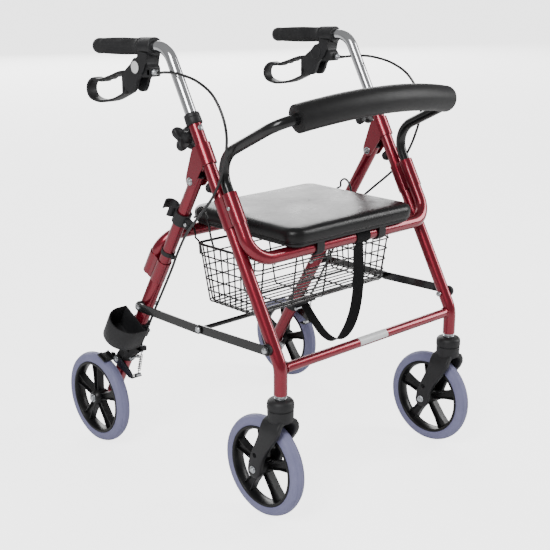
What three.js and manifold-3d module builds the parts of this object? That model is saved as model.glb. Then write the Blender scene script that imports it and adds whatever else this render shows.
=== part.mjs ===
// A folding four-wheeled walker (rollator) with hand brakes, seat, basket and backrest.
// Millimetres. +Z is up, the walker is pushed towards -Y, and the user's right hand is on -X.
// Each side's pieces are modelled once for the right side and mirrored for the left.

import * as THREE from "three";
import { mergeVertices } from "three/addons/utils/BufferGeometryUtils.js";
import Module from "manifold-3d";

const wasm = await Module();
wasm.setup();

// ---------------------------------------------------------------- driving dimensions
const CUP_REACH = 324.4; // the cane cup sticks out this far on the right side only
const AXLE_REACH = 306.5;
const MID_PLANE_X = (CUP_REACH - AXLE_REACH) / 2; // puts the origin below the middle of the whole
const GAP = 0.3; // between pieces that touch
const FRAME_X = 247; // the leg tubes' planes

const TYRE_RADIUS = 100;
const TYRE_WIDTH = 28;
const RIM_RADIUS = 80;
const HALF_WHEELBASE = 246.65;
const FRONT_WHEEL_X = 246.7;
const REAR_WHEEL_X = 283;

const TUBE = 12.7; // radius of the 25.4 mm frame tubes
const CROSS_TUBE = 9.5; // radius of the 19 mm lower cross tube
const SLEEVE = 14.3; // radius of the 28.6 mm lower legs and receivers
const RECEIVER_BORE = 13;
const POST = 11.1; // radius of the 22.2 mm handle posts
const POST_BORE = 11.6;

const STEM_Y = -290; // caster stem
const STEM_BOTTOM_Z = 256;
const FRONT_LEAN = 0.557; // the front leg goes this far back for each mm up
const FRONT_REF = { y: -78.85, z: 688.7 };
const LEG_TOP_Z = 735;
const REAR_LEAN = 0.592; // the rear leg goes this far back for each mm down
const HINGE = { y: -60, z: 619.7 };

const SEAT_BAR_Z = 493;
const SEAT = { halfWidth: 174, front: -250, back: 58, bottom: 507, top: 545, corner: 30 };
const SEAT_CLAMP_X = 88;

const FRONT_PIVOT = { y: -272, z: 342 };
const MID_PIVOT = { y: -87, z: 336 };
const REAR_PIVOT = { y: 106, z: 336 };
const LINK = { halfWidth: 9, thickness: 3, frontX: 267, rearX: 270.5 };

const HANDLE = { bendY: 17.5, bendZ: 861.7, endY: 243, fall: 0.0462, bend: 45 };
const LEVER_PIVOT = { y: 98.7, z: 819.4 };
const BRAKE_PIVOT = { y: 198, z: 196 };

const BACKREST = { radius: 10, foamRadius: 26, endX: 205, endY: -285, endZ: 754, crownY: -327,
  crownZ: 790 };
const BASKET = { topZ: 477, bottomZ: 356, wall: 3 };

// ---------------------------------------------------------------- materials
const material = (color, roughness, metalness = 0) =>
  new THREE.MeshStandardMaterial({ color, roughness, metalness });
const FRAME_RED = material(0x8e2436, 0.28, 0.75);
const CHROME = material(0xd4d6da, 0.12, 1);
const ZINC = material(0xb9bec2, 0.35, 1);
const BLACK_STEEL = material(0x17171a, 0.3, 0.4);
const BLACK_PLASTIC = material(0x232326, 0.6);
const GRIP_RUBBER = material(0x2e2d2f, 0.85);
const TYRE_GREY = material(0x8688ab, 0.7);
const SEAT_VINYL = material(0x121113, 0.35);
const FOAM = material(0x262628, 0.75);
const WEBBING = material(0x19191b, 0.9);

// ---------------------------------------------------------------- geometry helpers
const vec = (x, y, z) => new THREE.Vector3(x, y, z);
const frontLegY = (z) => FRONT_REF.y - FRONT_LEAN * (FRONT_REF.z - z);
const rearLegY = (z) => HINGE.y + REAR_LEAN * (HINGE.z - z);
const FRONT_UP = vec(0, FRONT_LEAN, 1).normalize();
const FRONT_OUT = vec(0, -FRONT_UP.z, FRONT_UP.y); // square to the front leg, pointing forwards
const REAR_UP = vec(0, -REAR_LEAN, 1).normalize();
const REAR_OUT = vec(0, REAR_UP.z, -REAR_UP.y); // square to the rear leg, pointing backwards
const frontLegAt = (z) => vec(-FRAME_X, frontLegY(z), z);
const rearLegAt = (z) => vec(-FRAME_X, rearLegY(z), z);

// A geometry as a manifold solid, and back.
function toSolid(geometry) {
  const bare = geometry.index ? geometry.toNonIndexed() : geometry.clone();
  bare.deleteAttribute("normal");
  bare.deleteAttribute("uv");
  const merged = mergeVertices(bare, 1e-4);
  return new wasm.Manifold(
    new wasm.Mesh({
      numProp: 3,
      vertProperties: merged.attributes.position.array,
      triVerts: new Uint32Array(merged.index.array),
    }),
  );
}

function toGeometry(solid) {
  const mesh = solid.getMesh();
  const geometry = new THREE.BufferGeometry();
  geometry.setAttribute("position", new THREE.BufferAttribute(mesh.vertProperties, 3));
  geometry.setIndex(new THREE.BufferAttribute(mesh.triVerts, 1));
  return geometry;
}

const joined = (first, ...rest) =>
  toGeometry(rest.reduce((sum, next) => sum.add(toSolid(next)), toSolid(first)));
const cut = (body, ...tools) =>
  toGeometry(tools.reduce((left, tool) => left.subtract(toSolid(tool)), toSolid(body)));

// A centre line through corners, each rounded to its own radius: one step for each straight, several for each arc.
class BentPath extends THREE.Curve {
  constructor(corners, radii, arcSteps = 5) {
    super();
    this.points = [corners[0]];
    this.tangents = [corners[1].clone().sub(corners[0]).normalize()];
    for (let i = 1; i < corners.length - 1; i++) {
      const into = corners[i].clone().sub(corners[i - 1]).normalize();
      const away = corners[i + 1].clone().sub(corners[i]).normalize();
      const turn = into.angleTo(away);
      const reach = radii[i - 1] * Math.tan(turn / 2);
      const inward = away.clone().sub(into.clone().multiplyScalar(into.dot(away))).normalize();
      const start = corners[i].clone().addScaledVector(into, -reach);
      for (let step = 0; step <= arcSteps; step++) {
        const angle = (turn * step) / arcSteps;
        const along = radii[i - 1] * Math.sin(angle);
        const across = radii[i - 1] * (1 - Math.cos(angle));
        this.points.push(start.clone().addScaledVector(into, along).addScaledVector(inward, across));
        const heading = into.clone().multiplyScalar(Math.cos(angle));
        this.tangents.push(heading.addScaledVector(inward, Math.sin(angle)));
      }
    }
    this.points.push(corners.at(-1));
    this.tangents.push(corners.at(-1).clone().sub(corners.at(-2)).normalize());
    this.steps = this.points.length - 1;
  }

  getUtoTmapping(u) {
    return u;
  }

  getPoint(t) {
    return this.points[Math.round(t * this.steps)].clone();
  }

  getTangent(t) {
    return this.tangents[Math.round(t * this.steps)].clone();
  }
}

function ring(radius, sides, turn = 0) {
  return Array.from({ length: sides }, (_, i) => {
    const angle = (2 * Math.PI * (i + turn)) / sides;
    return new THREE.Vector2(radius * Math.cos(angle), radius * Math.sin(angle));
  });
}

function tube(path, radius, sides = 12) {
  return new THREE.ExtrudeGeometry(new THREE.Shape(ring(radius, sides)), {
    steps: path.steps,
    bevelEnabled: false,
    extrudePath: path,
  });
}

const rod = (from, to, radius, sides = 12) => tube(new BentPath([from, to], []), radius, sides);

// A turned piece: profile points are [radius, distance along the axis from base].
function turned(base, axis, profile, segments = 20) {
  const points = profile.map(([r, h]) => new THREE.Vector2(r, h));
  const geometry = new THREE.LatheGeometry(points, segments);
  const rotation = new THREE.Quaternion().setFromUnitVectors(vec(0, 1, 0), axis.clone().normalize());
  return geometry.applyQuaternion(rotation).translate(base.x, base.y, base.z);
}

const closed = (profile) => [...profile, profile[0]];

// A plate in the side plane: outline points are [y, z], thickness from x0 to x1.
function sidePlate(outline, x0, x1, holes = []) {
  const points = outline.map(([y, z]) => new THREE.Vector2(y, z));
  const shape = new THREE.Shape(THREE.ShapeUtils.isClockWise(points) ? points.reverse() : points);
  for (const hole of holes) {
    shape.holes.push(new THREE.Path(hole.map(([y, z]) => new THREE.Vector2(y, z))));
  }
  const geometry = new THREE.ExtrudeGeometry(shape, { depth: x1 - x0, bevelEnabled: false });
  const basis = new THREE.Matrix4().makeBasis(vec(0, 1, 0), vec(0, 0, 1), vec(1, 0, 0));
  return geometry.applyMatrix4(basis).translate(x0, 0, 0);
}

const circle = (y, z, radius, sides = 14) => ring(radius, sides).map((p) => [y + p.x, z + p.y]);

// A flat bar with round ends between two pivots, as a [y, z] outline.
function barOutline(a, b, halfWidth, endSteps = 6) {
  const heading = Math.atan2(b.z - a.z, b.y - a.y);
  const outline = [];
  for (const [end, offset] of [[b, -Math.PI / 2], [a, Math.PI / 2]]) {
    for (let i = 0; i <= endSteps; i++) {
      const angle = heading + offset + (Math.PI * i) / endSteps;
      outline.push([end.y + halfWidth * Math.cos(angle), end.z + halfWidth * Math.sin(angle)]);
    }
  }
  return outline;
}

// ---------------------------------------------------------------- front frame
const RECEIVER_OFFSET = 27;
const frontReceiver = (z) => frontLegAt(z).addScaledVector(FRONT_OUT, RECEIVER_OFFSET);
const rearReceiver = (z) => rearLegAt(z).addScaledVector(REAR_OUT, RECEIVER_OFFSET);
// The height on the leg whose receiver point is at height z.
const frontReceiverAt = (z) => frontReceiver(z - RECEIVER_OFFSET * FRONT_OUT.z);
const rearReceiverAt = (z) => rearReceiver(z - RECEIVER_OFFSET * REAR_OUT.z);
const BUTTON = frontReceiverAt(585);

function frontLegPath() {
  const bendZ = FRONT_REF.z - (FRONT_REF.y - STEM_Y) / FRONT_LEAN;
  return new BentPath(
    [frontLegAt(LEG_TOP_Z), vec(-FRAME_X, STEM_Y, bendZ), vec(-FRAME_X, STEM_Y, STEM_BOTTOM_Z)],
    [60],
  );
}

// A receiver and the sleeve that holds it to the leg, side by side, between two heights of the receiver.
function twinSleeve(receiverAt, outwards, low, high) {
  const onLeg = (z) => receiverAt(z).addScaledVector(outwards, -RECEIVER_OFFSET);
  return joined(rod(onLeg(low), onLeg(high), SLEEVE + 0.4), rod(receiverAt(low), receiverAt(high), SLEEVE));
}

function frontLeg() {
  const leg = joined(tube(frontLegPath(), TUBE), twinSleeve(frontReceiverAt, FRONT_OUT, 557, 609));
  return cut(
    leg,
    rod(frontLegAt(LEG_TOP_Z + 5), frontLegAt(500), POST_BORE),
    rod(frontReceiverAt(620), frontReceiverAt(545), RECEIVER_BORE),
    rod(vec(-FRAME_X - 20, BUTTON.y, BUTTON.z), vec(-FRAME_X - 10, BUTTON.y, BUTTON.z), 4.6, 10),
    rod(vec(-FRAME_X - 20, FRONT_PIVOT.y, FRONT_PIVOT.z), vec(-FRAME_X + 20, FRONT_PIVOT.y, FRONT_PIVOT.z),
      3.3, 8),
  );
}

// A channel folded round the front leg, whose two cheeks carry the hinge bolt.
function hingeBracket() {
  const top = frontLegAt(690);
  const low = frontLegAt(654);
  const cheek = [
    [top.y, top.z],
    [top.y + 9, top.z - 9],
    ...circle(HINGE.y, HINGE.z, 13, 12).filter(([y, z]) => z < HINGE.z + 8 && y > HINGE.y - 12),
    [low.y, low.z],
  ];
  const order = new THREE.Vector2();
  const middle = [HINGE.y - 20, HINGE.z + 25];
  const angle = ([y, z]) => order.set(y - middle[0], z - middle[1]).angle();
  const outline = cheek.sort((a, b) => angle(a) - angle(b));
  const outer = 16.2;
  const body = joined(sidePlate(outline, -FRAME_X - outer, -FRAME_X + outer), rod(low, top, outer, 20));
  const channel = [[frontLegY(730), 730], [frontLegY(590), 590], [60, 560], [60, 730]];
  const slot = sidePlate(channel, -FRAME_X - TUBE - 0.8, -FRAME_X + TUBE + 0.8);
  const bore = rod(frontLegAt(640), frontLegAt(705), TUBE + GAP, 20);
  const bolt = rod(vec(-FRAME_X - 20, HINGE.y, HINGE.z), vec(-FRAME_X + 20, HINGE.y, HINGE.z), 4.4, 12);
  return cut(body, slot, bore, bolt);
}

// A bolt across the frame, with a round head outboard and a hex nut inboard.
function crossBolt(y, z, outX, inX, radius, headRadius, headHeight) {
  return joined(
    rod(vec(-outX - 1, y, z), vec(-inX + 1, y, z), radius, 12),
    rod(vec(-outX - headHeight, y, z), vec(-outX, y, z), headRadius, 12),
    rod(vec(-inX, y, z), vec(-inX + headHeight, y, z), headRadius, 6),
  );
}

const hingeBolt = () => crossBolt(HINGE.y, HINGE.z, FRAME_X + 16.5, FRAME_X - 16.5, 4, 6.5, 4);

// Collar pressed over the leg's top end; the post slides through its lip.
function collar() {
  const profile = [[POST + 0.35, 6.5], [POST + 0.35, 8], [13.5, 8], [15.6, 5], [15.6, -12],
    [TUBE + GAP, -12], [TUBE + GAP, 6.5 - 0.5], [12.2, 6.5]];
  return turned(frontLegAt(LEG_TOP_Z), FRONT_UP, closed(profile.reverse()), 20);
}

// Star knob on the back of the leg: its screw clamps the handle post.
const KNOB_ROOT = frontLegAt(715);
function heightKnob() {
  const back = FRONT_OUT.clone().negate();
  const hub = turned(KNOB_ROOT, back, [[0, 14.5], [10, 14.5], [8.5, 24], [14, 34], [14, 49], [9, 52],
    [0, 52]], 16);
  const lobes = Array.from({ length: 4 }, (_, i) => {
    const angle = (Math.PI / 2) * i + Math.PI / 4;
    const side = vec(Math.cos(angle), 0, 0).addScaledVector(FRONT_UP, Math.sin(angle));
    const centre = KNOB_ROOT.clone().addScaledVector(side, 20.5);
    return rod(centre.clone().addScaledVector(back, 35), centre.clone().addScaledVector(back, 48), 9.5, 12);
  });
  return joined(hub, ...lobes);
}

// Seat bars: U-shaped tubes between the two sides' receivers.
function seatBar(receiverAt, insertZ, bend) {
  const end = receiverAt(insertZ);
  const corner = receiverAt(SEAT_BAR_Z);
  const mirror = (p) => vec(-p.x, p.y, p.z);
  const path = new BentPath([end, corner, mirror(corner), mirror(end)], [bend, bend]);
  return tube(path, TUBE);
}

function frontCrossTube() {
  const z = 303;
  const y = STEM_Y + 3;
  const bar = rod(vec(-FRAME_X, y, z), vec(FRAME_X, y, z), CROSS_TUBE);
  const leg = tube(frontLegPath(), TUBE + GAP);
  const other = toGeometry(toSolid(leg).mirror([1, 0, 0]));
  return cut(bar, leg, other);
}

// ---------------------------------------------------------------- casters and wheels
const WHEEL_SIDES = 32;

function tyre(x, y) {
  const across = Math.cos(Math.PI / WHEEL_SIDES);
  const profile = [
    [RIM_RADIUS + GAP + 0.4, -12], [87, -TYRE_WIDTH / 2], [96, -12], [TYRE_RADIUS, -3],
    [TYRE_RADIUS, 3], [96, 12], [87, TYRE_WIDTH / 2], [RIM_RADIUS + GAP + 0.4, 12],
  ].map(([r, h]) => [r / across, h]);
  const geometry = turned(vec(0, 0, 0), vec(1, 0, 0), closed(profile), WHEEL_SIDES);
  return geometry.rotateX(Math.PI / WHEEL_SIDES).translate(x, y, TYRE_RADIUS);
}

// Five-spoked wheel: a rim, a web with rounded openings, and a hub.
function wheel(x, y, hubHalf, boreRadius) {
  const polar = (r, degrees) => {
    const angle = THREE.MathUtils.degToRad(degrees);
    return [y + r * Math.cos(angle), TYRE_RADIUS + r * Math.sin(angle)];
  };
  const opening = [[27, -14], [48, -24.5], [61, -28], [67, -23], [69, 0], [67, 23], [61, 28], [48, 24.5],
    [27, 14]];
  const holes = [0, 1, 2, 3, 4].map((i) => opening.map(([r, a]) => polar(r, a + 54 + 72 * i)));
  const web = sidePlate(circle(y, TYRE_RADIUS, 74, WHEEL_SIDES), x - 5, x + 5, holes);
  const rimProfile = [[72, -13], [RIM_RADIUS, -13], [RIM_RADIUS, 13], [72, 13]];
  const rim = turned(vec(x, y, TYRE_RADIUS), vec(1, 0, 0), closed(rimProfile), WHEEL_SIDES);
  const hub = rod(vec(x - hubHalf, y, TYRE_RADIUS), vec(x + hubHalf, y, TYRE_RADIUS), 17, 20);
  const bore = rod(vec(x - 40, y, TYRE_RADIUS), vec(x + 40, y, TYRE_RADIUS), boreRadius, 12);
  return cut(joined(web, rim, hub), bore);
}

const FORK_INNER = 18.5;
const FORK_OUTER = 31;
function fork() {
  const wheelY = -HALF_WHEELBASE;
  const blade = [
    [STEM_Y - 20, 222], [STEM_Y - 21, 196], [STEM_Y - 12, 170], [wheelY - 17, 112], [wheelY - 15, 90],
    [wheelY - 6, 83], [wheelY + 6, 83], [wheelY + 15, 91], [wheelY + 16, 104],
    [wheelY + 10, 130], [STEM_Y + 26, 178], [STEM_Y + 24, 206], [STEM_Y + 22, 222],
  ];
  const hole = circle(wheelY - 9, 128, 4, 8);
  const inner = -FRONT_WHEEL_X + FORK_INNER;
  const outer = -FRONT_WHEEL_X - FORK_INNER;
  const head = turned(vec(-FRAME_X, STEM_Y, 204), vec(0, 0, 1),
    [[0, 0], [22, 0], [25, 6], [25, 36], [22, 43], [14, 45], [0, 45]], 24);
  const crown = sidePlate([[STEM_Y - 20, 204], [STEM_Y + 25, 204], [STEM_Y + 20, 226], [STEM_Y - 18, 226]],
    -FRONT_WHEEL_X - FORK_OUTER + 2, -FRONT_WHEEL_X + FORK_OUTER - 2);
  const body = joined(
    sidePlate(blade, -FRONT_WHEEL_X - FORK_OUTER, outer, [hole]),
    sidePlate(blade, inner, -FRONT_WHEEL_X + FORK_OUTER, [hole]),
    crown,
    head,
  );
  return cut(body, rod(vec(-FRAME_X - 60, wheelY, TYRE_RADIUS), vec(-FRAME_X + 60, wheelY, TYRE_RADIUS),
    4.4, 12));
}

const stemNut = () => rod(vec(-FRAME_X, STEM_Y, 249 + GAP), vec(-FRAME_X, STEM_Y, STEM_BOTTOM_Z - GAP), 10,
  6);

const frontAxle = () =>
  crossBolt(-HALF_WHEELBASE, TYRE_RADIUS, FRONT_WHEEL_X + FORK_OUTER + GAP,
    FRONT_WHEEL_X - FORK_OUTER - GAP, 4, 7.5, 6);

// ---------------------------------------------------------------- rear frame
const LEG_STEP_Z = 421; // the rear leg is a thicker tube below this height

function rearLeg() {
  const top = rearLegAt(HINGE.z).addScaledVector(REAR_UP, 14);
  const foot = rearLegAt(TYRE_RADIUS).addScaledVector(REAR_UP, -16);
  const sleeves = twinSleeve(rearReceiverAt, REAR_OUT, 411, 456);
  const leg = joined(rod(top, foot, TUBE), rod(rearLegAt(LEG_STEP_Z), foot, SLEEVE), sleeves);
  const across = (p, r) => rod(vec(-FRAME_X - 25, p.y, p.z), vec(-FRAME_X + 25, p.y, p.z), r, 12);
  return cut(
    leg,
    rod(rearReceiverAt(470), rearReceiverAt(400), RECEIVER_BORE),
    across(HINGE, 4.4),
    across({ y: HALF_WHEELBASE, z: TYRE_RADIUS }, 5.4),
    across(REAR_PIVOT, 3.3),
  );
}

const rearAxle = () => crossBolt(HALF_WHEELBASE, TYRE_RADIUS, AXLE_REACH - 6, FRAME_X - SLEEVE - GAP, 5, 8,
  6);

// ---------------------------------------------------------------- brake at the wheel
const BRAKE_CLAMP_Z = 214;
const BRAKE_ARM_X = [-FRAME_X - 22.5, -FRAME_X - 19.2];
const CABLE_STOP_Y = 127;

function brakeBracket() {
  const low = rearLegAt(BRAKE_CLAMP_Z - 12);
  const high = rearLegAt(BRAKE_CLAMP_Z + 12);
  const band = rod(low, high, 18, 20);
  const arm = sidePlate([[172, 208], [176, 226], [134, 241], [119, 241], [119, 231], [134, 226]],
    -FRAME_X - 13, -FRAME_X + 3);
  const lug = sidePlate(barOutline({ y: 184, z: 212 }, BRAKE_PIVOT, 9), -FRAME_X - 18.8, -FRAME_X - 8);
  const bore = rod(rearLegAt(BRAKE_CLAMP_Z - 60), rearLegAt(BRAKE_CLAMP_Z + 60), SLEEVE + GAP, 20);
  const thread = rod(vec(-FRAME_X - 5, CABLE_STOP_Y, 220), vec(-FRAME_X - 5, CABLE_STOP_Y, 250), 1.6, 8);
  return cut(joined(band, arm, lug), bore, thread);
}

// Brake shoe and the arm that the cable pulls, on one pivot.
function brakeArm() {
  const lever = sidePlate(
    [[190, 205], [206, 204], [212, 196], [206, 188], [196, 186], [150, 166], [142, 172], [146, 180]],
    ...BRAKE_ARM_X,
  );
  const contact = TYRE_RADIUS + 2.6;
  const towards = new THREE.Vector2(-0.3, 0.954);
  const along = new THREE.Vector2(towards.y, -towards.x);
  const at = (r, t) => [HALF_WHEELBASE + towards.x * r + along.x * t,
    TYRE_RADIUS + towards.y * r + along.y * t];
  const shoe = sidePlate([at(contact, -12), at(contact + 0.6, 14), at(contact + 9, 13),
    at(contact + 9, -14)],
    -REAR_WHEEL_X - 13, BRAKE_ARM_X[1]);
  const web = sidePlate([at(contact + 2, -16), at(contact + 2, 8), at(contact + 12, 4), [196, 200]],
    ...BRAKE_ARM_X);
  const tab = sidePlate([[142, 166], [158, 166], [158, 170], [142, 170]], -FRAME_X - 22, -FRAME_X + 4);
  const head = rod(vec(-FRAME_X - 27, BRAKE_PIVOT.y, BRAKE_PIVOT.z),
    vec(-FRAME_X - 21, BRAKE_PIVOT.y, BRAKE_PIVOT.z), 6, 6);
  return joined(lever, shoe, web, tab, head);
}

// ---------------------------------------------------------------- handles
const gripAxis = vec(0, 1, -HANDLE.fall).normalize();
const gripAt = (y) => vec(-FRAME_X, y, HANDLE.bendZ - HANDLE.fall * (y - HANDLE.bendY));
const HOUSING_FRONT_Y = 54;
const HOUSING_BACK_Y = 92;

function handlePost() {
  const path = new BentPath([frontLegAt(585), vec(-FRAME_X, HANDLE.bendY, HANDLE.bendZ),
    gripAt(HANDLE.endY)], [HANDLE.bend], 7);
  return tube(path, POST, 16);
}

function grip() {
  const length = (248 - HOUSING_BACK_Y - GAP) / gripAxis.y;
  const profile = [
    [POST + 0.35, 0], [16.6, 0], [16.6, 5], [15.6, 12], [15.9, 60], [14.8, length - 24], [14.8, length - 8],
    [11.5, length - 2], [5, length], [0, length], [0, length - 4.5], [POST + 0.35, length - 4.5],
  ];
  return turned(gripAt(HOUSING_BACK_Y + GAP), gripAxis, closed(profile), 20);
}

function brakeHousing() {
  const collarRing = rod(gripAt(HOUSING_FRONT_Y), gripAt(HOUSING_BACK_Y - 0.6), 17.6, 20);
  const outline = [
    [57, 850], [64, 836], [64, 826], [58, 821], [58, 803], [82, 801], [93, 795], [97, 784],
    [107, 770], [122, 769], [143, 784], [143, 799], [131, 813], [112, 826], [103, 837], [91.6, 837.5], [91,
      850],
  ];
  const body = sidePlate(outline, -FRAME_X - 17, -FRAME_X + 17);
  const slotShape = [[83, 838], [83, 806], [97, 798], [102, 760], [160, 760], [160, 840]];
  const slot = sidePlate(slotShape, -FRAME_X - 9.2, -FRAME_X + 9.2);
  const pin = rod(vec(-FRAME_X - 12, LEVER_PIVOT.y, LEVER_PIVOT.z),
    vec(-FRAME_X + 12, LEVER_PIVOT.y, LEVER_PIVOT.z), 3.5, 12);
  const bore = rod(gripAt(HOUSING_FRONT_Y - 5), gripAt(HOUSING_BACK_Y + 5), POST + 0.35, 16);
  return joined(cut(joined(collarRing, body), slot, bore), pin);
}

// Loop lever: the hand squeezes it up towards the grip, and its tongue turns in the housing.
function brakeLever() {
  const loop = [
    [147, 810], [168, 806], [205, 795], [232, 787], [250, 792], [262, 786], [274, 776], [278, 764], [274,
      751],
    [262, 743], [240, 739], [224, 739], [192, 744], [168, 753], [147, 762],
  ];
  const window = [
    [154, 801], [168, 799], [182, 793], [205, 787], [214, 781], [234, 779], [254, 778], [265, 772], [269,
      763],
    [266, 754], [256, 748], [238, 746], [224, 746], [194, 751], [170, 760], [154, 770],
  ];
  const band = sidePlate(loop, -FRAME_X - 12, -FRAME_X + 12, [window]);
  const hub = circle(LEVER_PIVOT.y, LEVER_PIVOT.z, 11, 14).filter(([y]) => y < LEVER_PIVOT.y + 4);
  const top = hub.filter(([, z]) => z > LEVER_PIVOT.z).sort((a, b) => b[0] - a[0]);
  const low = hub.filter(([, z]) => z <= LEVER_PIVOT.z).sort((a, b) => a[0] - b[0]);
  const tongue = sidePlate([[149, 808], [131, 812], ...top, ...low, [138, 774], [149, 764]],
    -FRAME_X - 8.8, -FRAME_X + 8.8);
  const bore = rod(vec(-FRAME_X - 15, LEVER_PIVOT.y, LEVER_PIVOT.z),
    vec(-FRAME_X + 15, LEVER_PIVOT.y, LEVER_PIVOT.z), 4, 12);
  return cut(joined(band, tongue), bore);
}

const ADJUSTER_X = -252;
const ADJUSTER_Z = 812;
function cableAdjuster() {
  const profile = [[0, 0], [6, 0], [6, 4], [4.4, 4.5], [4.4, 12], [3, 14], [0, 14]];
  return turned(vec(ADJUSTER_X, 58 - GAP, ADJUSTER_Z), vec(0, -1, 0), profile, 12);
}

// The brake cable loops forward from the lever, crosses outside the leg, and runs down the rear leg.
const CABLE_ROUTE = [
  [-252, 43.2, 812], [-252.5, 37, 812.3], [-258, 21, 814.5], [-262.6, 3, 816.5], [-264.5, -22,
    817.5], [-265.5, -54, 815],
  [-266, -90, 808], [-267, -128, 792],
  [-268, -152, 770], [-269, -168, 744], [-269, -174, 719], [-268, -172, 697], [-267, -167, 675], [-266,
    -152, 637],
  [-265.5, -130, 602], [-263, -98, 570], [-257, -58, 535], [-252, -30, 509], [-248, -8, 482], [-247, 8,
    457],
  [-247.5, 22, 430], [-249, 48, 384], [-251, 82, 325], [-252, 108, 278], [-252, 126, 248], [-252, 127,
    241.6],
];

function brakeCable() {
  const curve = new THREE.CatmullRomCurve3(CABLE_ROUTE.map(([x, y, z]) => vec(x, y, z)), false,
    "centripetal");
  return new THREE.ExtrudeGeometry(new THREE.Shape(ring(2.4, 8)),
    { steps: 44, bevelEnabled: false, extrudePath: curve });
}

// ---------------------------------------------------------------- side braces
const frontLinkX = [-LINK.frontX - LINK.thickness, -LINK.frontX];
const rearLinkX = [-LINK.rearX - LINK.thickness, -LINK.rearX];

// Both front links with the rod that ties their middle pivots together.
function frontBrace() {
  const link = sidePlate(barOutline(FRONT_PIVOT, MID_PIVOT, LINK.halfWidth), ...frontLinkX);
  const spacer = rod(vec(-FRAME_X - TUBE - GAP, FRONT_PIVOT.y, FRONT_PIVOT.z),
    vec(-LINK.frontX, FRONT_PIVOT.y, FRONT_PIVOT.z), 11, 16);
  const side = toSolid(joined(link, spacer));
  const tie = rod(vec(-LINK.frontX - 1, MID_PIVOT.y, MID_PIVOT.z),
    vec(LINK.frontX + 1, MID_PIVOT.y, MID_PIVOT.z), 4, 10);
  return toGeometry(side.add(side.mirror([1, 0, 0])).add(toSolid(tie)));
}

function rearBraceLink() {
  const link = sidePlate(barOutline(MID_PIVOT, REAR_PIVOT, LINK.halfWidth), ...rearLinkX);
  const spacer = rod(vec(-FRAME_X - SLEEVE - GAP, REAR_PIVOT.y, REAR_PIVOT.z),
    vec(-LINK.rearX, REAR_PIVOT.y, REAR_PIVOT.z), 11, 16);
  return joined(link, spacer);
}

// ---------------------------------------------------------------- seat, backrest, basket
function roundedRectangle(x0, y0, x1, y1, r) {
  const shape = new THREE.Shape();
  shape.moveTo(x0 + r, y0);
  shape.lineTo(x1 - r, y0);
  shape.absarc(x1 - r, y0 + r, r, -Math.PI / 2, 0);
  shape.lineTo(x1, y1 - r);
  shape.absarc(x1 - r, y1 - r, r, 0, Math.PI / 2);
  shape.lineTo(x0 + r, y1);
  shape.absarc(x0 + r, y1 - r, r, Math.PI / 2, Math.PI);
  shape.lineTo(x0, y0 + r);
  shape.absarc(x0 + r, y0 + r, r, Math.PI, 1.5 * Math.PI);
  return shape;
}

function seatCushion() {
  const bevel = 7;
  const shape = roundedRectangle(-SEAT.halfWidth + bevel, SEAT.front + bevel, SEAT.halfWidth - bevel,
    SEAT.back - bevel, SEAT.corner - bevel);
  const bottom = SEAT.bottom + 6 + GAP;
  const geometry = new THREE.ExtrudeGeometry(shape, {
    depth: SEAT.top - bottom - 2 * bevel,
    bevelThickness: bevel,
    bevelSize: bevel,
    bevelSegments: 2,
    curveSegments: 5,
  });
  return geometry.translate(0, 0, bottom + bevel);
}

// Seat board with the two hinge clamps that ride on the front seat bar.
function seatBoard() {
  const inset = 6;
  const shape = roundedRectangle(-SEAT.halfWidth + inset, SEAT.front + inset, SEAT.halfWidth - inset,
    SEAT.back - inset, SEAT.corner - inset);
  const board = new THREE.ExtrudeGeometry(shape,
    { depth: 6, bevelEnabled: false, curveSegments: 4 }).translate(0, 0, SEAT.bottom);
  const barY = frontReceiverAt(SEAT_BAR_Z).y;
  const clamps = [-SEAT_CLAMP_X, SEAT_CLAMP_X].map((x) => {
    const block = sidePlate([[barY - 15, SEAT.bottom + 2], [barY - 15, SEAT_BAR_Z],
      [barY + 15, SEAT_BAR_Z], [barY + 15, SEAT.bottom + 2]], x - 14, x + 14);
    return joined(block, rod(vec(x - 14, barY, SEAT_BAR_Z), vec(x + 14, barY, SEAT_BAR_Z), 16, 20));
  });
  const bar = rod(vec(-SEAT.halfWidth, barY, SEAT_BAR_Z), vec(SEAT.halfWidth, barY, SEAT_BAR_Z),
    TUBE + GAP + 0.2, 20);
  return cut(joined(board, ...clamps), bar);
}

const crown = vec(0, BACKREST.crownY, BACKREST.crownZ);
const foamEnd = vec(-BACKREST.endX, BACKREST.endY, BACKREST.endZ);
const ARC_RADIUS = 785; // of the padded stretch
const flip = (p) => vec(-p.x, p.y, p.z);

function backrestTube() {
  const outward = foamEnd.clone().sub(crown).normalize();
  const shoulder = crown.clone().addScaledVector(outward, FRAME_X / Math.abs(outward.x));
  const knee = frontReceiverAt(668);
  const start = frontReceiverAt(566);
  const corners = [start, knee, shoulder, crown, flip(shoulder), flip(knee), flip(start)];
  const bent = tube(new BentPath(corners, [50, 38, ARC_RADIUS, 38, 50]), BACKREST.radius, 14);
  const dimple = rod(vec(-FRAME_X - 15, BUTTON.y, BUTTON.z), vec(-FRAME_X - 1, BUTTON.y, BUTTON.z), 4.4,
    10);
  const other = toGeometry(toSolid(dimple).mirror([1, 0, 0]));
  return cut(bent, dimple, other);
}

function backrestFoam() {
  const beyond = foamEnd.clone().sub(crown).setLength(20).add(foamEnd);
  const path = new BentPath([foamEnd, crown, flip(foamEnd)], [ARC_RADIUS]);
  const bore = new BentPath([beyond, crown, flip(beyond)], [ARC_RADIUS]);
  return cut(tube(path, BACKREST.foamRadius, 18), tube(bore, BACKREST.radius + 0.8));
}

const backrestButton = () => rod(vec(-FRAME_X - 16.4, BUTTON.y, BUTTON.z),
  vec(-FRAME_X - 10.6, BUTTON.y, BUTTON.z), 3.9, 10);

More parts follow.
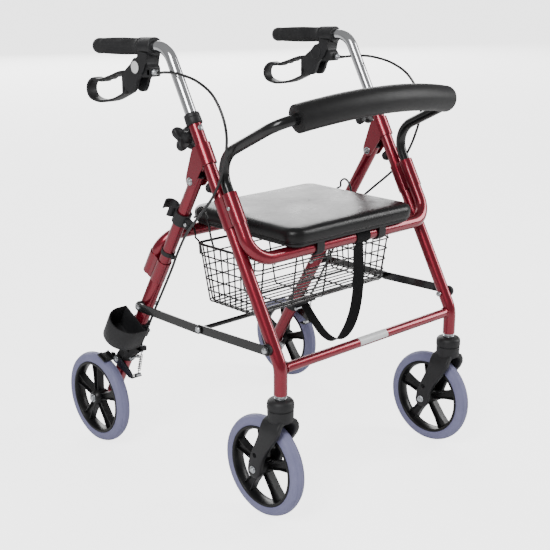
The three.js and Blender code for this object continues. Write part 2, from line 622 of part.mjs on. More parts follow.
// Open tub with the true outer shape of the tapered wire basket.
function basket() {
  const level = (z, halfX, front, back) => [
    vec(-halfX, front, z), vec(halfX, front, z), vec(halfX, back, z), vec(-halfX, back, z),
  ];
  const tub = (low, high) => {
    const corners = [...low, ...high];
    const faces = [[0, 2, 1], [0, 3, 2], [4, 5, 6], [4, 6, 7], [0, 1, 5], [0, 5, 4], [1, 2, 6], [1, 6, 5],
      [2, 3, 7], [2, 7, 6], [3, 0, 4], [3, 4, 7]];
    const geometry = new THREE.BufferGeometry().setFromPoints(corners);
    geometry.setIndex(faces.flat());
    return geometry;
  };
  const w = BASKET.wall;
  const outer = tub(level(BASKET.bottomZ, 188, -156, -13), level(BASKET.topZ, 194, -174, 12));
  const inner = tub(level(BASKET.bottomZ + w, 188 - w, -156 + w, -13 - w),
    level(BASKET.topZ + 1, 194 - w, -174 + w, 12 - w));
  return cut(outer, inner);
}

// ---------------------------------------------------------------- strap, cane clip and cup
// Lifting strap: pulled up through the seat, it raises the tie rod and folds the frame.
function liftStrap() {
  const barY = frontReceiverAt(SEAT_BAR_Z).y;
  const points = [
    vec(35, barY - 1, SEAT_BAR_Z - TUBE - 3),
    vec(36, barY + 1, 452),
    vec(46, -210, 390),
    vec(44, -203, 330),
    vec(31, -194, 288),
    vec(14, -180, 270),
    vec(6, -158, 276),
    vec(3, -130, 300),
    vec(2, -100, 330),
  ];
  const curve = new THREE.CatmullRomCurve3(points);
  const section = new THREE.Shape([[-1, -11], [1, -11], [1, 11],
    [-1, 11]].map(([a, b]) => new THREE.Vector2(a, b)));
  return new THREE.ExtrudeGeometry(section, { steps: 24, bevelEnabled: false, extrudePath: curve });
}

// Coordinates across the rear leg: x outboard, u backwards, s up the leg.
const onRearLeg = (z, x, u, s) => rearLegAt(z).setX(x).addScaledVector(REAR_OUT,
  u).addScaledVector(REAR_UP, s);

// A prism up the rear leg from an outline of [x, u] points, from s0 to s1.
function legPrism(z, outline, s0, s1) {
  const shape = new THREE.Shape(outline.map(([x, u]) => new THREE.Vector2(x, u)));
  const geometry = new THREE.ExtrudeGeometry(shape,
    { depth: s1 - s0, bevelEnabled: false, curveSegments: 1 });
  const base = onRearLeg(z, 0, 0, s0);
  const basis = new THREE.Matrix4().makeBasis(vec(1, 0, 0), REAR_OUT, REAR_UP);
  return geometry.applyMatrix4(basis.setPosition(base));
}

const CUP = { z: 283, halfWidth: 39, height: 52, wall: 3 };
function caneCup() {
  const outline = (grow) => {
    const r = CUP.halfWidth + grow;
    const centre = -CUP_REACH + CUP.halfWidth;
    const arc = Array.from({ length: 13 }, (_, i) => {
      const angle = Math.PI / 2 + (Math.PI * i) / 12;
      return [centre + r * Math.cos(angle), r * Math.sin(angle)];
    });
    return [[-263.5 + grow, r], ...arc, [-263.5 + grow, -r]];
  };
  const half = CUP.height / 2;
  const shell = legPrism(CUP.z, outline(0), -half, half);
  const hollow = legPrism(CUP.z, outline(-CUP.wall), -half + CUP.wall, half + 5);
  const circleAt = (r) => ring(r, 20).map((p) => [-FRAME_X + p.x, p.y]);
  const band = legPrism(CUP.z, circleAt(18), -16, 16);
  const bore = legPrism(CUP.z, circleAt(SLEEVE + GAP), -40, 40);
  return cut(joined(cut(shell, hollow), band), bore);
}

const CLIP_Z = 541;
function caneClip() {
  const circleAt = (x, u, r, sides = 20) => ring(r, sides).map((p) => [x + p.x, u + p.y]);
  const band = legPrism(CLIP_Z, circleAt(-FRAME_X, 0, 17), -13, 13);
  const jaw = legPrism(CLIP_Z, circleAt(-FRAME_X - 6, 30, 15.5), -11, 11);
  const mouth = legPrism(CLIP_Z, circleAt(-FRAME_X - 6, 30, 12), -20, 20);
  const opening = legPrism(CLIP_Z, [[-FRAME_X - 18, 36], [-FRAME_X - 12, 60], [-FRAME_X + 8, 60],
    [-FRAME_X + 4, 34]], -20, 20);
  const bore = legPrism(CLIP_Z, circleAt(-FRAME_X, 0, TUBE + GAP), -40, 40);
  return cut(joined(band, jaw), mouth, opening, bore);
}

// ---------------------------------------------------------------- assembly
const walker = new THREE.Group();
walker.position.x = MID_PLANE_X;
const rightSide = new THREE.Group();
const leftSide = new THREE.Group();
leftSide.scale.x = -1;
walker.add(rightSide, leftSide);

function add(group, name, geometry, look) {
  const mesh = new THREE.Mesh(geometry, look);
  mesh.name = name;
  group.add(mesh);
}

function addPair(name, geometry, look) {
  add(rightSide, name + "_right", geometry, look);
  add(leftSide, name + "_left", geometry, look);
}

addPair("front_leg", frontLeg(), FRAME_RED);
addPair("hinge_bracket", hingeBracket(), FRAME_RED);
addPair("hinge_bolt", hingeBolt(), ZINC);
addPair("post_collar", collar(), BLACK_PLASTIC);
addPair("height_knob", heightKnob(), BLACK_PLASTIC);
addPair("rear_leg", rearLeg(), FRAME_RED);
addPair("caster_fork", fork(), BLACK_PLASTIC);
addPair("stem_nut", stemNut(), ZINC);
addPair("front_axle", frontAxle(), ZINC);
addPair("front_wheel", wheel(-FRONT_WHEEL_X, -HALF_WHEELBASE, 18, 4.4), BLACK_PLASTIC);
addPair("front_tyre", tyre(-FRONT_WHEEL_X, -HALF_WHEELBASE), TYRE_GREY);
addPair("rear_axle", rearAxle(), ZINC);
addPair("rear_wheel", wheel(-REAR_WHEEL_X, HALF_WHEELBASE, 17, 5.4), BLACK_PLASTIC);
addPair("rear_tyre", tyre(-REAR_WHEEL_X, HALF_WHEELBASE), TYRE_GREY);
addPair("brake_bracket", brakeBracket(), BLACK_PLASTIC);
addPair("brake_arm", brakeArm(), BLACK_STEEL);
addPair("handle_post", handlePost(), CHROME);
addPair("hand_grip", grip(), GRIP_RUBBER);
addPair("brake_housing", brakeHousing(), BLACK_PLASTIC);
addPair("brake_lever", brakeLever(), BLACK_PLASTIC);
addPair("cable_adjuster", cableAdjuster(), ZINC);
addPair("brake_cable", brakeCable(), BLACK_PLASTIC);
addPair("rear_brace_link", rearBraceLink(), BLACK_STEEL);
addPair("backrest_button", backrestButton(), ZINC);
add(walker, "front_brace", frontBrace(), BLACK_STEEL);
add(walker, "front_seat_bar", seatBar(frontReceiverAt, 563, 45), FRAME_RED);
add(walker, "rear_seat_bar", seatBar(rearReceiverAt, 425, 42), FRAME_RED);
add(walker, "front_cross_tube", frontCrossTube(), FRAME_RED);
add(walker, "seat_board", seatBoard(), BLACK_PLASTIC);
add(walker, "seat_cushion", seatCushion(), SEAT_VINYL);
add(walker, "backrest_tube", backrestTube(), BLACK_STEEL);
add(walker, "backrest_foam", backrestFoam(), FOAM);
add(walker, "basket", basket(), BLACK_STEEL);
add(walker, "lift_strap", liftStrap(), WEBBING);
add(rightSide, "cane_cup", caneCup(), BLACK_PLASTIC);
add(rightSide, "cane_clip", caneClip(), BLACK_PLASTIC);

export default walker;
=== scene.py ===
"""A folding four-wheeled walker (rollator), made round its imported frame. Lengths here are millimetres from
the walker's mid-plane, the floor and the wheelbase's middle, and become metres when a mesh is made."""

import math

import bmesh
import bpy
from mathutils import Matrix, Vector, noise


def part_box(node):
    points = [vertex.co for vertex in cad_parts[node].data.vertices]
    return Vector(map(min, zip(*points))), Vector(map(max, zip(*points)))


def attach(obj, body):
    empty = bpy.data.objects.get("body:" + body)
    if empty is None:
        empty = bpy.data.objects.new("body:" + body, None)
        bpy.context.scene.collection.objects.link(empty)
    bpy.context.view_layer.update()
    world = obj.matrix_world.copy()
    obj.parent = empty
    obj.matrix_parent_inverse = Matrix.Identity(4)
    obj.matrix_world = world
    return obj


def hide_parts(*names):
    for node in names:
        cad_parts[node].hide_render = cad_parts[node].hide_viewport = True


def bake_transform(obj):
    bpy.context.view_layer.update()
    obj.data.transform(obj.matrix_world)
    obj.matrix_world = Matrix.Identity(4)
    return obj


bl_info = {
    "name": "Folding walker",
    "version": (1, 0, 0),
    "blender": (4, 5, 0),
    "location": "View3D > Sidebar > Walker",
    "description": "Builds a folding four-wheeled walker round its engineering model",
    "category": "Add Mesh",
}

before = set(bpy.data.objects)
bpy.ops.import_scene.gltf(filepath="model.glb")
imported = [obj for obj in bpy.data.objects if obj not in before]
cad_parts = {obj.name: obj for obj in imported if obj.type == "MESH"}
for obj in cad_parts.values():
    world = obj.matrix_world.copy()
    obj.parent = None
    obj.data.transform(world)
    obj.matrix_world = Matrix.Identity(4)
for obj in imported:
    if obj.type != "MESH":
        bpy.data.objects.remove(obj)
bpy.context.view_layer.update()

MM = 0.001
MID_X = sum(corner.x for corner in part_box("front_seat_bar")) / 2  # the mid-plane, in metres
RIGHT, LEFT, MIDDLE = "right", "left", ""

# Driving dimensions, as in the engineering model.
FRAME_OUT = 247.0
WHEEL_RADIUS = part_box("rear_tyre_right")[1].z / MM / 2
WHEELBASE = (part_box("rear_tyre_right")[0].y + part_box("rear_tyre_right")[1].y) / 2 / MM
FRONT_WHEEL_OUT = 246.7
REAR_WHEEL_OUT = 283.0
TUBE = 12.7
SLEEVE = 14.3
POST = 11.1
STEM_Y = -290.0
HINGE = (-60.0, 619.7)
SEAT_BAR_Z = 493.0
CROSS_TUBE = 9.5
FRONT_PIVOT = (-272.0, 342.0)
MID_PIVOT = (-87.0, 336.0)
REAR_PIVOT = (106.0, 336.0)
LEVER_PIVOT = (98.7, 819.4)
BRAKE_PIVOT = (198.0, 196.0)
RECEIVER_OFFSET = 27.0
LEG_POINT = (-78.85, 688.7)  # a point on the front legs' axis, back and up
FRONT_SLOPE, REAR_SLOPE, GRIP_SLOPE = 0.557, 0.592, 0.0462
GRIP_BEND = (17.5, 861.7)
LEG_TOP = 735.0
KNOB_Z = 715.0
BUTTON_Z = 585.0
HOLE_PITCH = 25.4
POST_FOOT = 585.0
OUT, BACK, UP = Vector((1, 0, 0)), Vector((0, 1, 0)), Vector((0, 0, 1))


# ------------------------------------------------------------------ places on the frame
def front_leg(z, out=FRAME_OUT):
    """The front leg's axis at a height."""
    return Vector((out, LEG_POINT[0] - FRONT_SLOPE * (LEG_POINT[1] - z), z))


def rear_leg(z, out=FRAME_OUT):
    """The rear leg's axis at a height."""
    return Vector((out, HINGE[0] + REAR_SLOPE * (HINGE[1] - z), z))


FRONT_UP = Vector((0, FRONT_SLOPE, 1)).normalized()
FRONT_AHEAD = Vector((0, -FRONT_UP.z, FRONT_UP.y))
REAR_UP = Vector((0, -REAR_SLOPE, 1)).normalized()
REAR_BACK = Vector((0, REAR_UP.z, -REAR_UP.y))


def front_socket(z):
    """The axis of the socket ahead of the front leg, at a height of its own."""
    return front_leg(z - RECEIVER_OFFSET * FRONT_AHEAD.z) + FRONT_AHEAD * RECEIVER_OFFSET


def rear_socket(z):
    """The axis of the socket behind the rear leg, at a height of its own."""
    return rear_leg(z - RECEIVER_OFFSET * REAR_BACK.z) + REAR_BACK * RECEIVER_OFFSET


def on_rear_leg(z, out, back=0.0, up=0.0):
    """A point beside the rear leg: outwards, square behind it, and along it."""
    return rear_leg(z, out) + REAR_BACK * back + REAR_UP * up


def grip_line(y):
    """The axis of the hand grip at a distance back."""
    return Vector((FRAME_OUT, y, GRIP_BEND[1] - GRIP_SLOPE * (y - GRIP_BEND[0])))


GRIP_AXIS = Vector((0, 1, -GRIP_SLOPE)).normalized()


def mirrored(point):
    """The same point on the other side."""
    return Vector((-point.x, point.y, point.z))


# ------------------------------------------------------------------ mesh tools
def bent_path(corners, radii, arc_steps=12, straight=60.0):
    """A centre line through corners rounded to their radii, with straights split into even steps."""
    points = [Vector(corners[0])]
    for before, corner, after, radius in zip(corners, corners[1:], corners[2:], radii):
        into = (corner - before).normalized()
        away = (after - corner).normalized()
        turn = into.angle(away)
        reach = radius * math.tan(turn / 2)
        inward = (away - into * into.dot(away)).normalized()
        start = corner - into * reach
        points += spaced(points.pop(), start, straight)[:-1]
        for step in range(arc_steps + 1):
            angle = turn * step / arc_steps
            points.append(start + into * (radius * math.sin(angle))
                          + inward * (radius * (1 - math.cos(angle))))
    return points[:-1] + spaced(points[-1], Vector(corners[-1]), straight)


def spaced(a, b, step):
    """Points in even steps from a to b."""
    count = max(1, round((b - a).length / step))
    return [a.lerp(b, i / count) for i in range(count + 1)]


def smooth_path(points, steps=8):
    """A smooth curve through given points."""
    padded = [points[0] * 2 - points[1], *points, points[-1] * 2 - points[-2]]
    path = []
    for a, b, c, d in zip(padded, padded[1:], padded[2:], padded[3:]):
        for step in range(steps):
            path.append(spline_point(a, b, c, d, step / steps))
    return path + [points[-1]]


def rounded_outline(points, radius, steps=4):
    """A closed flat outline with its corners rounded as far as their sides allow."""
    outline = []
    for i, point in enumerate(points):
        corner = Vector(point)
        before = Vector(points[i - 1]) - corner
        after = Vector(points[(i + 1) % len(points)]) - corner
        reach = min(radius, before.length * 0.45, after.length * 0.45)
        start = corner + before.normalized() * reach
        end = corner + after.normalized() * reach
        for step in range(steps + 1):
            t = step / steps
            outline.append(start.lerp(corner, t).lerp(corner.lerp(end, t), t))
    return outline


def arc(start, end, steps):
    """Even angles between two in degrees."""
    return [math.radians(start + (end - start) * i / steps) for i in range(steps + 1)]


def bar_outline(a, b, half):
    """The outline of a flat bar with round ends."""
    heading = math.atan2(b[1] - a[1], b[0] - a[0])
    outline = []
    for end, offset in ((b, -90), (a, 90)):
        for angle in arc(offset, offset + 180, 10):
            outline.append(Vector((end[0] + half * math.cos(heading + angle),
                                   end[1] + half * math.sin(heading + angle))))
    return outline


def sweep(radius, start, end, steps):
    """Points on part of a circle between two angles in degrees."""
    return [Vector((radius * math.cos(a), radius * math.sin(a))) for a in arc(start, end, steps)]


def band(inner, outer, start, end, steps):
    """The outline of part of a flat ring."""
    return sweep(inner, start, end, steps) + sweep(outer, start, end, steps)[::-1]


def heading_at(path, i):
    """The direction of an open path at one of its points."""
    return (path[min(i + 1, len(path) - 1)] - path[max(i - 1, 0)]).normalized()


def spline_point(a, b, c, d, t):
    """A point between b and c on the smooth curve through a, b, c and d."""
    bend = (a * 2 - b * 5 + c * 4 - d) * t * t + (b * 3 - a - c * 3 + d) * t * t * t
    return (b * 2 + (c - a) * t + bend) / 2


def circle(radius, sides):
    """Corners of a regular flat outline."""
    turns = [2 * math.pi * i / sides for i in range(sides)]
    return [Vector((radius * math.cos(a), radius * math.sin(a))) for a in turns]


class Solid:
    """Closed shells of one piece, in millimetres, gathered before they become a mesh."""

    def __init__(self):
        self.points = []
        self.faces = []

    def shell(self, rings, capped=True, looped=False):
        """Skins rings of equal size; capped closes both ends and looped joins the last ring to the first."""
        base = len(self.points)
        size = len(rings[0])
        for ring in rings:
            self.points += ring
        count = len(rings)
        for k in range(count if looped else count - 1):
            a, b = base + k * size, base + (k + 1) % count * size
            for i in range(size):
                j = (i + 1) % size
                self.faces.append((a + i, a + j, b + j, b + i))
        if capped and not looped:
            self.faces.append(tuple(base + i for i in reversed(range(size))))
            self.faces.append(tuple(base + (count - 1) * size + i for i in range(size)))
        return self

    def add(self, other, placed):
        """Takes in another solid's shells, each point moved by a function."""
        base = len(self.points)
        self.points += [placed(p) for p in other.points]
        self.faces += [tuple(base + i for i in face) for face in other.faces]

    def pipe(self, path, radius, sides=32):
        """A closed rod along a path."""
        outline = circle(1.0, sides)
        ahead = (path[1] - path[0]).normalized()
        across = ahead.orthogonal().normalized() if abs(ahead.x) > 0.9 else ahead.cross(OUT).normalized()
        rings = []
        for i, point in enumerate(path):
            heading = heading_at(path, i)
            across = (ahead.rotation_difference(heading) @ across).normalized()
            across = (across - heading * across.dot(heading)).normalized()
            other = heading.cross(across)
            ahead = heading
            rings.append([point + across * (p.x * radius) + other * (p.y * radius) for p in outline])
        return self.shell(rings)

    def hollow_pipe(self, path, radius, wall, sides=32):
        """A tube with an open bore, closed by a ring at each end."""
        outer, inner = Solid().pipe(path, radius, sides), Solid().pipe(path, radius - wall, sides)
        rings = [outer.points[i : i + sides] for i in range(0, len(outer.points), sides)]
        back = [inner.points[i : i + sides] for i in range(0, len(inner.points), sides)]
        return self.shell(rings + back[::-1], looped=True)

    def turned(self, base, axis, profile, sides=48, looped=False):
        """A piece turned on a lathe: profile points are (radius, distance along the axis)."""
        axis = axis.normalized()
        across = axis.cross(OUT).normalized() if abs(axis.x) < 0.9 else UP
        across = (across - axis * across.dot(axis)).normalized()
        other = axis.cross(across)
        turns = circle(1.0, sides)
        rings = [[base + axis * h + (across * t.x + other * t.y) * max(r, 0.02) for t in turns] for r,
                 h in profile]
        return self.shell(rings, looped=looped)

    def disc(self, base, axis, radius, height, sides):
        """A plain turned disc, washer or peg."""
        return self.turned(base, axis, [(0, 0), (radius, 0), (radius, height), (0, height)], sides)

    def plate(self, outline, low, high, origin=None, axes=None):
        """A flat outline given thickness. By default it lies in the side plane, thickened outwards."""
        origin = origin or Vector((0, 0, 0))
        u, v, w = axes or (BACK, UP, OUT)
        rings = [[origin + u * p[0] + v * p[1] + w * level for p in outline] for level in (low, high)]
        return self.shell(rings)

    def bolt(self, a, b, radius, head=0.0, head_height=0.0, nut=0.0, nut_height=0.0):
        """A bolt from its head at a to its nut at b, both outside that length."""
        axis = (b - a).normalized()
        length = (b - a).length
        profile = [(0, -head_height), (head * 0.55, -head_height), (head * 0.9, -head_height * 0.6),
                   (head, 0)]
        profile += [(radius, 0.02), (radius, length), (0, length)]
        self.turned(a, axis, profile, 24)
        if nut:
            self.turned(b, axis, [(0, 0), (nut, 0), (nut, nut_height), (nut * 0.6, nut_height * 1.25),
                                  (0, nut_height * 1.25)], 6)
        return self


def pin_across(out_a, out_b, y, z):
    """Both ends of a pin that lies straight across the walker."""
    return Vector((out_a, y, z)), Vector((out_b, y, z))


def side_mesh(name, solid, side):
    """The solid as a mesh in place, mirrored to its side, with merged points and faces turned outwards."""
    sign = -1.0 if side == RIGHT else 1.0
    mesh = bpy.data.meshes.new(name)
    mesh.from_pydata([(MID_X + sign * p.x * MM, p.y * MM, p.z * MM) for p in solid.points], [], solid.faces)
    tidy = bmesh.new()
    tidy.from_mesh(mesh)
    bmesh.ops.remove_doubles(tidy, verts=tidy.verts, dist=2e-6)
    bmesh.ops.recalc_face_normals(tidy, faces=tidy.faces)
    tidy.to_mesh(mesh)
    tidy.free()
    return mesh


def on_side(side, word):
    """A piece or node of a pair."""
    return f"{word}_{side}"


def on_side_body(side, word):
    """A body of a pair."""
    return f"{side}_{word}"


def make_piece(name, solid, side, body, material, stands_for=(), slot=None, bevel=0.0, sharp=35.0,
               subdivide=0):
    """One object from a solid: mirrored to its side, smoothed, and fastened to its body.
    A piece that bends between two bodies is given no body here."""
    mesh = side_mesh(name, solid, side)
    piece = bpy.data.objects.new(name, mesh)
    bpy.context.scene.collection.objects.link(piece)
    if bevel:
        edge = piece.modifiers.new("Rounded edges", "BEVEL")
        edge.width = bevel * MM
        edge.segments = 3
        edge.limit_method = "ANGLE"
        edge.angle_limit = math.radians(sharp)
        edge.harden_normals = True
    if subdivide:
        piece.modifiers.new("Fine surface", "SUBSURF").levels = subdivide
        piece.modifiers["Fine surface"].render_levels = subdivide
    mesh.shade_smooth()
    if not bevel:
        mesh.set_sharp_from_angle(angle=math.radians(sharp))
    mesh.materials.append(bpy.data.materials[material])
    if stands_for:
        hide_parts(*stands_for)
    if body:
        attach(piece, body)
    return piece


def make_pair_piece(name, solid, side, body, material, stands_for="", **options):
    """A piece that both sides have, named after its side as the node it stands for is."""
    nodes = [on_side(side, stands_for)] if stands_for else ()
    return make_piece(on_side(side, name), solid, side, body, material, nodes, **options)


def drill(piece, holes):
    """Cuts closed solids, in the same side's millimetres, out of a finished piece."""
    tool = bpy.data.objects.new("drill", holes)
    bpy.context.scene.collection.objects.link(tool)
    cut = piece.modifiers.new("Holes", "BOOLEAN")
    cut.object = tool
    cut.solver = "EXACT"
    bpy.context.view_layer.update()
    result = bpy.data.meshes.new_from_object(piece.evaluated_get(bpy.context.evaluated_depsgraph_get()))
    piece.modifiers.clear()
    piece.data = result
    bpy.data.objects.remove(tool)
    piece.data.set_sharp_from_angle(angle=math.radians(35))


# ------------------------------------------------------------------ shared shader effects
def effect_group(name, inputs, output):
    """A shader group with float inputs (name, default) and one float output, and its coordinates."""
    group = bpy.data.node_groups.new(name, "ShaderNodeTree")
    for label, default in inputs:
        socket = group.interface.new_socket(name=label, in_out="INPUT", socket_type="NodeSocketFloat")
        socket.default_value = default
    group.interface.new_socket(name=output, in_out="OUTPUT", socket_type="NodeSocketFloat")
    entry = group.nodes.new("NodeGroupInput")
    leave = group.nodes.new("NodeGroupOutput")
    where = group.nodes.new("ShaderNodeTexCoord")
    return group, entry, leave, where


def math_node(group, operation, first, second):
    """A Math node; each operand is a socket or a number."""
    node = group.nodes.new("ShaderNodeMath")
    node.operation = operation
    for socket, value in zip(node.inputs, (first, second)):
        if isinstance(value, (int, float)):
            socket.default_value = value
        else:
            group.links.new(value, socket)
    return node.outputs[0]


def noise_node(group, where, scale, detail=3.0, roughness=0.55):
    """A Noise node; its scale is a socket or a number."""
    node = group.nodes.new("ShaderNodeTexNoise")
    node.inputs["Detail"].default_value = detail
    node.inputs["Roughness"].default_value = roughness
    if isinstance(scale, (int, float)):
        node.inputs["Scale"].default_value = scale
    else:
        group.links.new(scale, node.inputs["Scale"])
    group.links.new(where.outputs["Object"], node.inputs["Vector"])
    return node.outputs[0]


def make_handling_marks():
    """Broad smudges broken up by small ones: 0 where clean, 1 where handled."""
    group, entry, leave, where = effect_group("Handling marks", [("Scale", 14.0), ("Contrast", 3.0)], "Marks")
    broad = noise_node(group, where, entry.outputs["Scale"])
    small = noise_node(group, where, math_node(group, "MULTIPLY", entry.outputs["Scale"], 9.0), 4.0)
    both = math_node(group, "ADD", math_node(group, "MULTIPLY", broad, 0.65),
                     math_node(group, "MULTIPLY", small, 0.35))
    centred = math_node(group, "MULTIPLY", math_node(group, "SUBTRACT", both, 0.5), entry.outputs["Contrast"])
    shifted = math_node(group, "ADD", centred, 0.5)
    limit = group.nodes.new("ShaderNodeClamp")
    group.links.new(shifted, limit.inputs[0])
    group.links.new(limit.outputs[0], leave.inputs["Marks"])


def make_moulded_grain():
    """The spark-eroded texture of moulded plastic: fine rounded pits."""
    group, entry, leave, where = effect_group("Moulded grain", [("Scale", 1400.0)], "Height")
    cells = group.nodes.new("ShaderNodeTexVoronoi")
    cells.feature = "SMOOTH_F1"
    cells.inputs["Smoothness"].default_value = 0.6
    group.links.new(where.outputs["Object"], cells.inputs["Vector"])
    group.links.new(entry.outputs["Scale"], cells.inputs["Scale"])
    fine = noise_node(group, where, math_node(group, "MULTIPLY", entry.outputs["Scale"], 1.7), 2.0)
    total = math_node(group, "ADD", cells.outputs["Distance"], math_node(group, "MULTIPLY", fine, 0.5))
    group.links.new(total, leave.inputs["Height"])


def make_leather_grain():
    """Creased pebbles of embossed vinyl: high pebbles, narrow creases between them."""
    group, entry, leave, where = effect_group("Leather grain", [("Scale", 620.0)], "Height")
    warp = group.nodes.new("ShaderNodeTexNoise")
    warp.inputs["Scale"].default_value = 220.0
    warp.inputs["Detail"].default_value = 2.0
    group.links.new(where.outputs["Object"], warp.inputs["Vector"])
    spread = group.nodes.new("ShaderNodeVectorMath")
    spread.operation = "SCALE"
    spread.inputs["Scale"].default_value = 0.0016
    group.links.new(warp.outputs["Color"], spread.inputs[0])
    moved = group.nodes.new("ShaderNodeVectorMath")
    group.links.new(where.outputs["Object"], moved.inputs[0])
    group.links.new(spread.outputs[0], moved.inputs[1])
    cells = group.nodes.new("ShaderNodeTexVoronoi")
    cells.feature = "DISTANCE_TO_EDGE"
    group.links.new(moved.outputs[0], cells.inputs["Vector"])
    group.links.new(entry.outputs["Scale"], cells.inputs["Scale"])
    pebble = math_node(group, "MINIMUM", math_node(group, "MULTIPLY", cells.outputs["Distance"], 4.0), 1.0)
    group.links.new(math_node(group, "POWER", pebble, 0.6), leave.inputs["Height"])


def make_weave():
    """Crossing threads of flat webbing."""
    group, entry, leave, where = effect_group("Weave", [("Scale", 900.0)], "Height")
    heights = []
    for direction in ("X", "Z"):
        wave = group.nodes.new("ShaderNodeTexWave")
        wave.bands_direction = direction
        wave.inputs["Distortion"].default_value = 0.4
        group.links.new(where.outputs["Object"], wave.inputs["Vector"])
        group.links.new(entry.outputs["Scale"], wave.inputs["Scale"])
        heights.append(wave.outputs["Fac"])
    group.links.new(math_node(group, "MAXIMUM", *heights), leave.inputs["Height"])


# ------------------------------------------------------------------ materials
class Finish:
    """A Principled material with marks that change its colour and roughness, and a relief."""

    def __init__(self, name, colour, metallic=0.0, coat=0.0, coat_roughness=0.08, specular=0.5):
        self.material = bpy.data.materials.new(name)
        self.material.use_nodes = True
        self.material.diffuse_color = (*colour, 1.0)
        self.tree = self.material.node_tree
        self.shader = self.tree.nodes["Principled BSDF"]
        for socket, value in (("Base Color", (*colour, 1.0)), ("Metallic", metallic), ("Coat Weight", coat),
                              ("Coat Roughness", coat_roughness), ("Specular IOR Level", specular)):
            self.shader.inputs[socket].default_value = value
        self.colour = colour

    def effect(self, group, **values):
        """A shared effect with this finish's own values."""
        node = self.tree.nodes.new("ShaderNodeGroup")
        node.node_tree = bpy.data.node_groups[group]
        for label, value in values.items():
            node.inputs[label.capitalize()].default_value = value
        return node.outputs[0]

    def mix(self, mask, first, second, socket):
        """Fades a colour or a number along a mask into a socket of the shader."""
        node = self.tree.nodes.new("ShaderNodeMix")
        coloured = isinstance(first, tuple)
        node.data_type = "RGBA" if coloured else "FLOAT"
        ends = (6, 7) if coloured else (2, 3)
        node.inputs[ends[0]].default_value = (*first, 1.0) if coloured else first
        node.inputs[ends[1]].default_value = (*second, 1.0) if coloured else second
        self.tree.links.new(mask, node.inputs[0])
        self.tree.links.new(node.outputs[2 if coloured else 0], self.shader.inputs[socket])

    def marks(self, second, smooth, rough, scale=14.0, contrast=3.0):
        """Handling marks between two colours and two roughnesses."""
        mask = self.effect("Handling marks", scale=scale, contrast=contrast)
        self.mix(mask, self.colour, second, "Base Color")
        self.mix(mask, smooth, rough, "Roughness")
        return self

    def relief(self, height, depth):
        """A bump of a depth in millimetres."""
        bump = self.tree.nodes.new("ShaderNodeBump")
        bump.inputs["Strength"].default_value = 1.0
        bump.inputs["Distance"].default_value = depth * MM
        self.tree.links.new(height, bump.inputs["Height"])
        self.tree.links.new(bump.outputs[0], self.shader.inputs["Normal"])
        return self

    def plain_noise(self, scale, detail=2.0):
        """Soft noise on the piece."""
        where = self.tree.nodes.new("ShaderNodeTexCoord")
        return noise_node(self.tree, where, scale, detail)


def frame_paint_material(colour):
    """Metallic candy paint: fine flake under clear lacquer, with a faint orange peel."""
    deep = tuple(c * 0.62 for c in colour)
    paint = Finish("Frame paint", colour, metallic=0.72, coat=0.8, coat_roughness=0.05)
    paint.marks(deep, 0.24, 0.36, scale=900.0, contrast=2.4)
    paint.relief(paint.plain_noise(420.0), 0.02)


def chrome_material():
    """Bright plating with faint wipe marks."""
    chrome = Finish("Chrome", (0.78, 0.79, 0.81), metallic=1.0)
    chrome.marks((0.70, 0.71, 0.73), 0.07, 0.16, scale=30.0)
    chrome.relief(chrome.plain_noise(160.0), 0.008)


def zinc_material():
    """Zinc plated screws and nuts."""
    zinc = Finish("Zinc plate", (0.66, 0.68, 0.70), metallic=1.0)
    zinc.marks((0.46, 0.48, 0.50), 0.22, 0.42, scale=140.0)
    zinc.relief(zinc.plain_noise(900.0), 0.02)


def black_enamel_material():
    """Glossy black powder coat on steel tube and bar."""
    enamel = Finish("Black enamel", (0.0045, 0.0045, 0.005), coat=0.5, coat_roughness=0.05, specular=0.3)
    enamel.marks((0.009, 0.009, 0.0095), 0.20, 0.34, scale=22.0)
    enamel.relief(enamel.plain_noise(520.0), 0.025)


def moulded_plastic_material(colour):
    """Black moulded nylon with a fine eroded grain."""
    plastic = Finish("Moulded plastic", colour, specular=0.36)
    plastic.marks(tuple(c * 1.7 for c in colour), 0.40, 0.56, scale=26.0)
    plastic.relief(plastic.effect("Moulded grain", scale=1300.0), 0.06)


def wheel_plastic_material(colour):
    """Smoother, shinier black plastic of the wheels."""
    plastic = Finish("Wheel plastic", tuple(c * 0.42 for c in colour), specular=0.3)
    plastic.marks(tuple(c * 0.8 for c in colour), 0.26, 0.42, scale=20.0)
    plastic.relief(plastic.effect("Moulded grain", scale=1900.0), 0.025)


def tyre_material(colour):
    """Lilac-grey polyurethane, duller where it has rolled."""
    tyre = Finish("Tyre", colour, specular=0.4)
    tyre.marks(tuple(c * 0.86 for c in colour), 0.46, 0.66, scale=24.0)
    tyre.relief(tyre.effect("Moulded grain", scale=1000.0), 0.05)


def grip_rubber_material():
    """Soft dark grey rubber."""
    rubber = Finish("Grip rubber", (0.016, 0.016, 0.0175), specular=0.25)
    rubber.marks((0.030, 0.030, 0.031), 0.58, 0.76, scale=34.0)
    rubber.relief(rubber.effect("Moulded grain", scale=1500.0), 0.05)


def seat_vinyl_material(colour):
    """Embossed black vinyl."""
    vinyl = Finish("Seat vinyl", colour, specular=0.3)
    vinyl.marks(tuple(c * 1.6 for c in colour), 0.24, 0.38, scale=9.0)
    vinyl.relief(vinyl.effect("Leather grain", scale=560.0), 0.045)


def foam_material(colour):
    """Skinned closed-cell foam: almost smooth, with fine pores."""
    foam = Finish("Backrest foam", colour, specular=0.3)
    foam.marks(tuple(c * 1.5 for c in colour), 0.40, 0.54, scale=10.0)
    foam.relief(foam.effect("Moulded grain", scale=800.0), 0.07)


